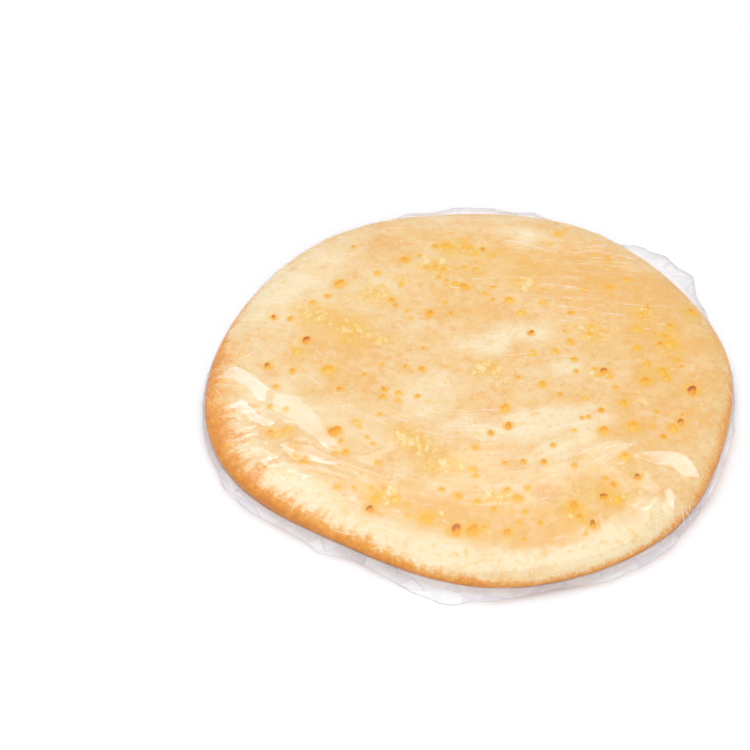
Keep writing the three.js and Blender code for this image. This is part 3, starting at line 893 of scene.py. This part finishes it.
def polygon_distance(x, y, corners):
    """How far points lie outside a polygon, or minus how far they lie inside."""
    nearest = np.full_like(x, np.inf)
    inside = np.zeros(x.shape, bool)
    for (ax, ay), (bx, by) in zip(corners, corners[1:] + corners[:1]):
        dx, dy = bx - ax, by - ay
        t = np.clip(((x - ax) * dx + (y - ay) * dy) / (dx * dx + dy * dy), 0, 1)
        nearest = np.minimum(nearest, np.hypot(x - ax - t * dx, y - ay - t * dy))
        if dy:
            inside ^= ((ay > y) != (by > y)) & (x < ax + (y - ay) * dx / dy)
    return np.where(inside, -nearest, nearest)


def facet_rise(x, y, slope_x, slope_y, corners):
    """How far a tight facet rises from the middle of its corners to points."""
    u, v = np.stack([x, y]) - np.mean(corners, axis=0)[:, None]
    bow_x, bow_y = FACET_BOWS
    return slope_x * u + slope_y * v + (bow_x * u * u + bow_y * v * v) / 2


def seat_facets():
    """The height of each tight facet's middle, as low as the facet can lie on the softer film."""
    levels = []
    for slope_x, slope_y, _, corners in TIGHT_FACETS:
        low, high = np.min(corners, axis=0), np.max(corners, axis=0)
        spans = (np.arange(low[k], high[k], SEAT_STEP) for k in (0, 1))
        x, y = (spots.ravel() for spots in np.meshgrid(*spans))
        within = polygon_distance(x, y, corners) < 0
        x, y = x[within], y[within]
        clear = soft_height(x, y, *share_at(x, y)) - facet_rise(x, y, slope_x, slope_y, corners)
        levels.append(np.max(clear))
    return levels


def film_height(x, y, share, angle):
    """Height of the film over the top and shoulder, and how strongly it shines there."""
    soft = soft_height(x, y, share, angle)
    height = soft.copy()
    shine = (1 - SIDE_DULL * smoothstep(0.94, 1.0, share)) * (1 - SPOT_DULL * spot_glow(x, y))
    shine = shine * (1 - np.minimum(1, area_sum(x, y, DULL_AREAS)))
    for level, (slope_x, slope_y, facet_shine, corners) in zip(FACET_LEVELS, TIGHT_FACETS):
        near = in_box(x, y, corners, FACET_WALL)
        away = polygon_distance(x[near], y[near], corners)
        plane = level + facet_rise(x[near], y[near], slope_x, slope_y, corners)
        raised = soft[near] + np.maximum(0, plane - soft[near]) * np.clip(1 - away / FACET_WALL, 0, 1)
        height[near] = np.maximum(height[near], raised)
        shine[near] = np.where(away < SHINE_MARGIN, facet_shine, shine[near])
    return height, shine


FACET_LEVELS = seat_facets()

PUFF_SCALE = 10.0  # how much longer than wide the skirt's facets are
PUFFS = (190, 0.5, (-0.2, 1.2), (-1, 1))  # knots, spacing, span from its top to its tip, heights
# how dark the skirt's facets are painted at most, as shade
PUFF_PAINTED_SHADES = 0.6
PUFF_SPREAD = 0.5  # how far the facets push the skirt out, for each millimetre that they rise
PUFF_LIFT = 0.9
PUFF_PHASE = (0.1, 0.75)  # of their height, in half turns: at the skirt's top, and added to its tip
FOLD_SHADE_LINES = (0.12, 0.05)  # how near a facet's edge, in shares of it, its dark line of painted shade begins and is full
LEAVE_MARGIN = 0.4  # how much higher than the skirt's top the grid ends
SQUEEZE_POWER = 6  # how suddenly the grid's rings draw in towards that end
SETTLE_POWER = 400  # how close to its edge the film's fine relief ends
LOOSE_FROM = (0.35, 1.1)  # millimetres off the bread, between which the film turns milky
FILM_GAP = 0.02  # under the film's flat underside, and under the creases on its top
LOWEST_SKIRT = 0.3
UNDER_SHINE = 0.1
STREAK_HAZE = 0.46
RIM_HAZE_AND_SHEEN = 0.42  # where a fold of the film lies along the back left, painted as milk and sheen
FOLD_SLOPE = (-0.65, 0.75)  # along x and y, up to that fold
HAZE_WARP = (9, 4, 63)
HAZE_PATCHES = 0.4
HAZE_NOISE = (24, 62)
SPOT_HAZE = 0.2  # the share of the haze that stays over a spot of cheese


def top_haze_and_sheen(x, y, share):
    """How milky the film looks over the bread, with painted sheen: in patches of fine streaks, and least at
    the side.
    """
    patches = HAZE_PATCHES * smoothstep(-0.2, 0.5, noise(flat(x, y), *HAZE_NOISE))
    patches = np.minimum(1, patches + area_sum(*warped(x, y, HAZE_WARP), HAZE_AND_SHEEN_AREAS))
    back_left = smoothstep(0.2, 0.9, (FOLD_SLOPE[0] * x + FOLD_SLOPE[1] * y) / BREAD_RADIUS)
    rim = RIM_HAZE_AND_SHEEN * back_left * smoothstep(0.82, 0.98, share)
    patches = patches * smoothstep(1.0, 0.93, share) * (1 - (1 - SPOT_HAZE) * spot_glow(x, y))
    return np.minimum(STREAK_HAZE, STREAK_HAZE * patches + rim)


def make_film(material):
    shell = Shell(FILM_RINGS)
    angle, grid_share = shell.angle, shell.grid_share
    last = share_at_height(np.maximum(WIDEST_HEIGHT, skirt(angle)[1] + LEAVE_RISE) + LEAVE_MARGIN)
    share = shell.share * (1 + (last - 1) * grid_share**SQUEEZE_POWER)
    x, y = polar(share * outline(angle) + FILM_STANDOFF * grid_share**4, angle)
    plain = top_height(share, angle)
    height, shine = film_height(x, y, share, angle)
    shell.set_top(x, y, plain + (height - plain) * (1 - grid_share**SETTLE_POWER))
    # The film's haze is milk over the loose skirt, and milk with painted sheen over the top.
    haze_and_sheen, painted_fold_shade, shine = [top_haze_and_sheen(x, y, share)], [np.zeros_like(x)], [shine]

    around = shell.loop_angle
    edge = outline(around)
    start = np.array([shell.points[k] for k in shell.loop])
    start_radius, start_height = np.hypot(start[:, 0], start[:, 1]), start[:, 2]
    reach, lift = skirt(around)
    tip_radius = edge + reach
    tip_height = lift + TIP_THICKNESS + np.maximum(0, PLEAT_HEIGHT * pleat(around))
    draw = np.random.RandomState(PUFF_SEED)
    puffs = Facets(round_knots(draw, *PUFFS, TAU * PUFF_SCALE))
    # tones and lines are painted shade of the skirt's facets and of its fold lines
    painted_shades = PUFF_PAINTED_SHADES * draw.uniform(0, 1, len(puffs.corners)) ** 3
    lines = draw.uniform(0, 1, len(puffs.corners)) ** 2
    for t in np.arange(1, SKIRT_RINGS + 1) / SKIRT_RINGS:
        rise, facet, inwards = puffs.sample(around % TAU * PUFF_SCALE, np.full_like(around, t))
        puff = rise * math.sin(math.pi * (PUFF_PHASE[0] + PUFF_PHASE[1] * t))
        flare, fall = t**SKIRT_FLARE, t**SKIRT_FALL
        ring_radius = start_radius + (tip_radius - start_radius) * flare + PUFF_SPREAD * puff * t
        ring_height = start_height + (tip_height - start_height) * fall + PUFF_LIFT * puff
        shell.add_ring(ring_radius, np.maximum(ring_height, LOWEST_SKIRT))
        haze_and_sheen.append(smoothstep(*LOOSE_FROM, ring_radius - edge + side_tuck(ring_height)))
        painted_fold_shade.append(np.maximum(painted_shades[facet], lines[facet] * smoothstep(*FOLD_SHADE_LINES, inwards)))
        shine.append(np.full_like(edge, 0.5 + 0.5 * t))
    above = len(shell.points)
    for t in np.arange(1, UNDER_RINGS + 1) / UNDER_RINGS:
        height = np.maximum(0, tip_height - TIP_THICKNESS) * (1 - t) ** 2 + FILM_GAP
        shell.add_ring(tip_radius + (edge - FOOT_INSET - tip_radius) * t, height)
    shell.close_below(FILM_GAP)
    points = np.array(shell.points)
    under = np.zeros(len(points) - above)
    attributes = {
        "haze_and_sheen": np.concatenate(haze_and_sheen + [under]), "painted_fold_shade": np.concatenate(painted_fold_shade + [under]),
        "shine": np.concatenate(shine + [under + UNDER_SHINE]), **grain_attributes(points),
    }
    film = mesh_object("shrink_film", points, shell.faces, material, attributes)
    film.visible_shadow = False
    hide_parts(NODE)


CREASE_STEPS = 10
CREASE_ARCH = np.array([(-1, -0.1), (-0.6, 0.4), (0, 0.6), (0.6, 0.4), (1, -0.1), (0, -0.4)])
CREASE_SHINE = 1.3
CREASE_BOW = 0.06  # of its length, at most
CREASE_WIDTHS = (0.12, 0.28)  # from the middle line to an edge
# how milky white the creases are: a painted highlight along them
CREASE_PAINTED_HIGHLIGHTS = (0.36, 0.6)
LOOSE_REACHES = (0.45, 0.95)  # shares of the radius where loose creases begin
LOOSE_LENGTHS = (2.5, 6)
RADIAL_FROM = 0.85  # the share of the radius past which they point in from the rim


def crease_lines():
    """The placed creases, and loose ones that point in from the rim or lie along the film's grain."""
    draw = np.random.RandomState(CREASE_SEED)
    lines = list(CREASES)
    for _ in range(LOOSE_CREASES):
        angle = draw.uniform(0, TAU)
        reach, length = draw.uniform(*LOOSE_REACHES), draw.uniform(*LOOSE_LENGTHS)
        x, y = polar(reach * outline(angle), angle)
        lean = angle + draw.normal(0, 0.35)
        if reach < RADIAL_FROM:
            lean = math.radians(GRAIN_TURN) * x * smoothstep(*GRAIN_FRONT, y) + draw.normal(0, 0.25)
        lines.append((x, y, x - length * math.cos(lean), y - length * math.sin(lean)))
    return lines


def make_creases(material):
    """Thin sharp ridges pinched up in the film, with a painted highlight of white milk along them."""
    draw = np.random.RandomState(RIDGE_SEED)
    lines = np.array(crease_lines())
    t = np.linspace(0, 1, CREASE_STEPS + 1)
    start, end = lines[:, None, :2], lines[:, None, 2:]
    length = np.linalg.norm(end - start, axis=2)
    along = (end - start) / length[..., None]
    across = np.stack([-along[..., 1], along[..., 0]], axis=-1)
    bow = draw.uniform(-CREASE_BOW, CREASE_BOW, (len(lines), 1)) * length * np.sin(math.pi * t)
    spine = start + (end - start) * t[None, :, None] + across * bow[..., None]
    x, y = spine[..., 0].ravel(), spine[..., 1].ravel()
    base = film_height(x, y, *share_at(x, y))[0].reshape(bow.shape)
    half = draw.uniform(*CREASE_WIDTHS, (len(lines), 1)) * np.sin(math.pi * (0.03 + 0.94 * t))
    spots = spine[:, :, None] + across[:, :1, None] * CREASE_ARCH[:, :1] * half[..., None, None]
    heights = base[..., None] + CREASE_ARCH[:, 1] * half[..., None] + FILM_GAP
    points = np.concatenate([spots, heights[..., None]], axis=-1).reshape(-1, 3)
    section = np.arange(len(CREASE_ARCH))
    sides, size = len(section), len(section) * (CREASE_STEPS + 1)
    faces = [section.tolist(), (size - 1 - section).tolist()]
    for ring in range(CREASE_STEPS):
        faces += band(section + sides * (ring + 1), section + sides * ring)
    # the creases' haze is a painted highlight
    attributes = {
        "haze_and_sheen": np.repeat(draw.uniform(*CREASE_PAINTED_HIGHLIGHTS, len(lines)), size), "painted_fold_shade": np.zeros(len(points)),
        "shine": np.full(len(points), CREASE_SHINE), **grain_attributes(points),
    }
    joined = repeated(faces, len(lines), size)
    creases = mesh_object("film_creases", points, joined, material, attributes)
    creases.visible_shadow = False


# Materials

class Graph:
    """Short calls for building the node tree of a new material."""

    def __init__(self, name):
        self.material = bpy.data.materials.new(name)
        self.material.use_nodes = True
        self.tree = self.material.node_tree
        self.tree.nodes.clear()

    def node(self, kind, inputs=None, **properties):
        """A node with its properties set, and with inputs, by name or number, linked or set."""
        made = self.tree.nodes.new(kind)
        for key, value in properties.items():
            setattr(made, key, value)
        for key, value in (inputs or {}).items():
            socket = made.inputs[key]
            if isinstance(value, bpy.types.NodeSocket):
                self.tree.links.new(value, socket)
            elif socket.type == "RGBA":
                socket.default_value = (*value, 1)
            else:
                socket.default_value = value
        return made

    def attribute(self, name):
        return self.node("ShaderNodeAttribute", attribute_name=name).outputs["Fac"]

    def place(self):
        return self.node("ShaderNodeTexCoord").outputs["Object"]

    def texture(self, place, scale, detail, roughness):
        """Noise about zero, from about -0.5 to 0.5."""
        inputs = {"Vector": place, "Scale": scale, "Detail": detail, "Roughness": roughness}
        return self.math("SUBTRACT", self.node("ShaderNodeTexNoise", inputs).outputs["Fac"], 0.5)

    def noise(self, cell, detail, roughness):
        return self.texture(self.place(), 1 / (cell * MM), detail, roughness)

    def noises(self, rows, level, clamp=False):
        """Summed noises and a level. Each row has a cell in millimetres, detail, roughness and gain."""
        parts = [self.scaled(self.noise(*texture), gain) for *texture, gain in rows]
        return self.total(*parts, level, clamp=clamp)

    def streaks(self, rows, level, clamp=False):
        """Summed noises drawn out along the grain, and a level. Each row has a length, width and gain."""
        parts = []
        for length, width, gain in rows:
            height = self.node("ShaderNodeSeparateXYZ", {0: self.place()}).outputs[2]
            drawn = self.node("ShaderNodeCombineXYZ", {
                0: self.scaled(self.attribute("along"), 1 / length),
                1: self.scaled(self.attribute("across"), 1 / width),
                2: self.scaled(height, 1 / (width * MM)),
            })
            parts.append(self.scaled(self.texture(drawn.outputs[0], 1.0, 4.0, 0.6), gain))
        return self.total(*parts, level, clamp=clamp)

    def cells(self, cell):
        """Distance from the middle of the nearest cell, in cells."""
        inputs = {"Vector": self.place(), "Scale": 1 / (cell * MM)}
        return self.node("ShaderNodeTexVoronoi", inputs).outputs["Distance"]

    def math(self, operation, *values, clamp=False):
        inputs = dict(enumerate(values))
        return self.node("ShaderNodeMath", inputs, operation=operation, use_clamp=clamp).outputs[0]

    def scaled(self, value, amount):
        return self.math("MULTIPLY", value, amount)

    def total(self, first, *others, clamp=False):
        for k, other in enumerate(others, 1):
            first = self.math("ADD", first, other, clamp=clamp and k == len(others))
        return first

    def ramp(self, factor, stops):
        made = self.node("ShaderNodeValToRGB", {"Fac": factor})
        elements = made.color_ramp.elements
        while len(elements) < len(stops):
            elements.new(0.5)
        for element, (position, colour) in zip(elements, stops):
            element.position = position
            element.color = (*colour, 1)
        return made.outputs["Color"]

    def blend(self, factor, a, b):
        return self.node("ShaderNodeMix", {0: factor, 6: a, 7: b}, data_type="RGBA").outputs[2]

    def bumps(self, rows, ridged=False):
        """A normal bumped by one noise after another: cell, detail, roughness, strength, depth."""
        inputs = {}
        for *texture, strength, depth in rows:
            height = self.noise(*texture)
            if ridged:
                height = self.math("ABSOLUTE", height)
            inputs |= {"Height": height, "Strength": strength, "Distance": depth * MM}
            inputs = {"Normal": self.node("ShaderNodeBump", inputs).outputs["Normal"]}
        return inputs["Normal"]

    def shader(self, kind, **inputs):
        """A shader, with its inputs by name, where a line stands for a space."""
        named = {key.replace("_", " "): value for key, value in inputs.items()}
        return self.node(kind, named).outputs[0]

    def mixed(self, factor, first, second):
        return self.node("ShaderNodeMixShader", {0: factor, 1: first, 2: second}).outputs[0]

    def finished(self, surface):
        self.node("ShaderNodeOutputMaterial", {"Surface": surface})
        return self.material


# Colours of the bread and cheese, as linear light.
DEEP_TAN = (0.86, 0.47, 0.115)
TAN = (0.87, 0.51, 0.165)
# the palest crust, which also stands for painted sheen of the film
CREAM_AND_SHEEN = (0.93, 0.77, 0.49)
STRAW = (0.89, 0.51, 0.07)
GLAZE = (0.88, 0.52, 0.10)
PEACH = (0.84, 0.42, 0.12)
CURD = (0.94, 0.73, 0.35)
GLOW = (0.91, 0.49, 0.065)
SPECKLE = (0.60, 0.20, 0.03)
CRUST_STOPS = [(0.0, DEEP_TAN), (0.3, TAN), (0.95, CREAM_AND_SHEEN)]
SIDE_STOPS = [(0.1, (0.92, 0.50, 0.13)), (0.55, (0.86, 0.35, 0.048)), (1.0, (0.72, 0.25, 0.03))]
CHEESE_STOPS = [
    (0.0, (0.94, 0.73, 0.36)), (0.12, (0.96, 0.56, 0.055)), (0.34, (0.92, 0.38, 0.008)),
    (0.6, (0.80, 0.27, 0.01)), (0.82, (0.60, 0.17, 0.015)), (1.0, (0.42, 0.11, 0.015)),
]

# Noise in the materials: rows of cell in millimetres, detail, roughness and gain, and a level.
MOTTLE = ([(14, 4, 0.6, 0.85), (4, 5, 0.68, 1.3)], 0.19)
FLOUR = ([(1.2, 4, 0.7, 0.55)], 0)
GLAZED = ([(4, 4, 0.65, 5), (11, 3, 0.55, 2.2)], 0)
PATCHY = ([(3.2, 5, 0.7, 3.2)], 0.75)
CURD_LUMPS = ([(2, 3, 0.55, 1.5)], 1.2)
UNEVEN_BROWN = ([(3, 5, 0.7, 1.5), (11, 3, 0.55, 0.7)], 0)
SPECKLES = ([(1.7, 3, 0.6, 9)], -0.7)
DOTTED_EDGE = ([(1.5, 3, 0.6, 2.2), (5, 3, 0.55, 1.0)], 0)
DOUGH_ROUGHNESS = ([(3, 3, 0.6, 0.3)], 0.58)
TOASTING = ([(0.8, 3, 0.6, 0.3)], 0)
CHEESE_ROUGHNESS = ([(0.6, 2, 0.55, 0.3)], 0.42)
FILM_SMEARS = ([(5, 3, 0.55, 0.5)], 0.95)

# Streaks in the materials: rows of length and width in millimetres and gain, and a level.
BRUSHED = ([(14, 4, 0.3), (4, 1.2, 0.2)], 0)
WIPED = ([(8, 1.6, 1.3)], 0)
MILK_AND_SHEEN_STREAKS = ([(15, 1.3, 8)], -0.3)

# Bumps: cell in millimetres, detail, roughness, strength, depth in millimetres.
DOUGH_BUMPS = [(5, 4, 0.6, 0.5, 0.6), (0.9, 4, 0.65, 0.5, 0.15)]
CHEESE_BUMPS = [(0.5, 3, 0.55, 0.3, 0.15)]
FILM_BUMPS = [(6, 3, 0.55, 0.25, 0.12), (2.2, 3, 0.6, 0.2, 0.05)]

# How strongly the colours of the crust lie over one another.
PALE_GAIN = 0.85
GLAZE_SHARE = 0.6
PEACH_SHARE = 0.8
CURD_SHARE = 0.8
GLOW_SHARE = 0.7
SPECKLE_SHARE = 0.5
BROWN_GAIN = 2.6
BROWN_LEVEL = -0.15
BORDER_GAIN = 9
CURD_CELL = 3  # millimetres
CURD_FALL = -2.6  # from the middle of a lump of curd to its edge


def bread_material():
    g = Graph("baked_dough")
    pale, brown, curd = (g.attribute(name) for name in ("pale", "brown", "curd"))
    uneven = g.total(g.noises(*MOTTLE), g.streaks(*BRUSHED), g.noises(*FLOUR))
    pale = g.total(g.scaled(pale, PALE_GAIN), uneven, clamp=True)
    patchy = g.noises(*PATCHY, clamp=True)
    lump = g.total(g.scaled(g.cells(CURD_CELL), CURD_FALL), g.noises(*CURD_LUMPS), clamp=True)
    # the cream end of the ramp is pale crust and painted sheen of the film
    colour = g.ramp(pale, CRUST_STOPS)
    for factor, tint in (
        (g.scaled(g.noises(*GLAZED, clamp=True), GLAZE_SHARE), GLAZE),
        (g.math("MULTIPLY", g.attribute("yellow"), patchy), STRAW),
        (g.math("MULTIPLY", g.attribute("peach"), g.scaled(patchy, PEACH_SHARE)), PEACH),
        (g.math("MULTIPLY", curd, patchy), STRAW),
        (g.math("MULTIPLY", curd, g.scaled(lump, CURD_SHARE)), CURD),
        (g.scaled(g.attribute("cheese"), GLOW_SHARE), GLOW),
    ):
        colour = g.blend(factor, colour, tint)
    baked = g.ramp(g.total(brown, g.noises(*UNEVEN_BROWN), clamp=True), SIDE_STOPS)
    baked = g.blend(g.scaled(g.noises(*SPECKLES, clamp=True), SPECKLE_SHARE), baked, SPECKLE)
    lighter = g.math("SUBTRACT", 1.0, brown, clamp=True)
    border = g.math("MULTIPLY", g.scaled(brown, BORDER_GAIN), lighter, clamp=True)
    dotted = g.math("MULTIPLY", g.noises(*DOTTED_EDGE), border)
    edge = g.total(g.scaled(brown, BROWN_GAIN), dotted, BROWN_LEVEL, clamp=True)
    shader = g.shader(
        "ShaderNodeBsdfPrincipled", Base_Color=g.blend(edge, colour, baked),
        Roughness=g.noises(*DOUGH_ROUGHNESS), Subsurface_Weight=0.1,
        Subsurface_Radius=(0.004, 0.002, 0.001), Subsurface_Scale=1.0, Normal=g.bumps(DOUGH_BUMPS),
    )
    return g.finished(shader)


def cheese_material():
    g = Graph("toasted_cheese")
    toast = g.total(g.attribute("toast"), g.noises(*TOASTING), clamp=True)
    shader = g.shader(
        "ShaderNodeBsdfPrincipled", Roughness=g.noises(*CHEESE_ROUGHNESS),
        Base_Color=g.blend(g.attribute("edge"), g.ramp(toast, CHEESE_STOPS), GLOW),
        Normal=g.bumps(CHEESE_BUMPS),
    )
    return g.finished(shader)


FILM_PALE = (0.955, 0.975, 0.99)
# the darkest milk of the skirt: painted shade of its facets and fold lines
FILM_PAINTED_SHADE = (0.74, 0.75, 0.84)
FILM_CLEAR = (0.99, 0.99, 0.995)
FILM_ROUGHNESS = 0.05
FILM_INDEX = 1.5
MOST_MIRRORED = 0.14
MILKINESS = 0.79  # of the loosest film
THROUGH_LIGHT = 0.35  # the share of the loose film's light that comes through from behind


def film_material():
    """Clear film: mirrors a little, and more where it is seen at a slant; milky where it is loose; its milky
    streaks over the bread are partly painted sheen.
    """
    g = Graph("clear_shrink_film")
    bumped = g.bumps(FILM_BUMPS, ridged=True)
    clear = g.shader("ShaderNodeBsdfTransparent", Color=FILM_CLEAR)
    gloss = g.shader("ShaderNodeBsdfGlossy", Color=(1, 1, 1), Roughness=FILM_ROUGHNESS, Normal=bumped)
    slant = g.shader("ShaderNodeFresnel", IOR=FILM_INDEX, Normal=bumped)
    wiped = g.total(g.streaks(*WIPED), g.noises(*FILM_SMEARS))
    shine = g.math("MULTIPLY", g.attribute("shine"), wiped)
    mirror = g.math("MULTIPLY", g.math("MINIMUM", slant, MOST_MIRRORED), shine, clamp=True)
    # the fold attribute darkens the milk with painted shade
    tint = g.blend(g.attribute("painted_fold_shade"), FILM_PALE, FILM_PAINTED_SHADE)
    front = g.shader("ShaderNodeBsdfDiffuse", Color=tint)
    back = g.shader("ShaderNodeBsdfTranslucent", Color=tint)
    haze_and_sheen = g.attribute("haze_and_sheen")
    loose = g.math("GREATER_THAN", haze_and_sheen, STREAK_HAZE + 0.01)
    milk = g.mixed(g.scaled(loose, THROUGH_LIGHT), front, back)
    # the milky streaks over the tight film are partly painted sheen
    drawn = g.streaks(*MILK_AND_SHEEN_STREAKS, clamp=True)
    milky = g.math("MULTIPLY", haze_and_sheen, g.math("MAXIMUM", drawn, loose))
    return g.finished(g.mixed(g.scaled(milky, MILKINESS), g.mixed(mirror, clear, gloss), milk))


# Surroundings

FLOOR_SIZE = 6  # metres
FLOOR_DROP = 0.4  # millimetres below the part, so that the film's underside doesn't flicker through it
FLOOR_COLOUR = (0.95, 0.95, 0.955)
WORLD_LIGHT = 0.49
WHITE = (1, 1, 1)
COOL = (0.42, 0.68, 1.0)

# Softboxes: name, place and size in metres, power, colour.
SOFTBOXES = [
    ("left_softbox", (-0.40, 0.86, 1.3), (0.36, 0.15), 1.15, COOL),
    ("right_softbox", (0.36, 0.78, 1.3), (0.18, 0.12), 0.45, COOL),
    ("top_softbox", (-0.2, 0.3, 1.9), (2.4, 1.8), 25, WHITE),
    ("front_softbox", (0.35, -1.7, 1.0), (1.8, 1.0), 8, WHITE),
]


def make_floor():
    bpy.ops.mesh.primitive_plane_add(size=FLOOR_SIZE, location=(0, 0, -FLOOR_DROP * MM))
    floor = bpy.context.object
    floor.name = "floor"
    g = Graph("pale_floor")
    shader = g.shader("ShaderNodeBsdfPrincipled", Base_Color=FLOOR_COLOUR, Roughness=0.8)
    floor.data.materials.append(g.finished(shader))


def make_lights():
    world = bpy.data.worlds.new("studio")
    bpy.context.scene.world = world
    world.use_nodes = True
    background = world.node_tree.nodes["Background"]
    background.inputs["Color"].default_value = (*WHITE, 1)
    background.inputs["Strength"].default_value = WORLD_LIGHT
    for name, place, size, power, colour in SOFTBOXES:
        data = bpy.data.lights.new(name, "AREA")
        data.color = colour
        data.shape = "RECTANGLE"
        data.size, data.size_y = size
        data.energy = power
        light = add_object(name, data)
        light.location = place
        light.rotation_mode = "QUATERNION"
        light.rotation_quaternion = Vector(place).to_track_quat("Z", "Y")


def set_colour():
    """Plain colours, and enough bounces for light that goes through the film."""
    scene = bpy.context.scene
    scene.view_settings.view_transform = "Standard"
    scene.view_settings.look = "None"
    scene.view_settings.exposure = 0
    scene.view_settings.gamma = 1
    scene.cycles.max_bounces = 10
    scene.cycles.transparent_max_bounces = 16


make_camera()
make_lights()
make_floor()
set_colour()
make_bread(bread_material())
cheese = cheese_material()
make_cheese(cheese)
make_crumbs(cheese)
film = film_material()
make_film(film)
make_creases(film)
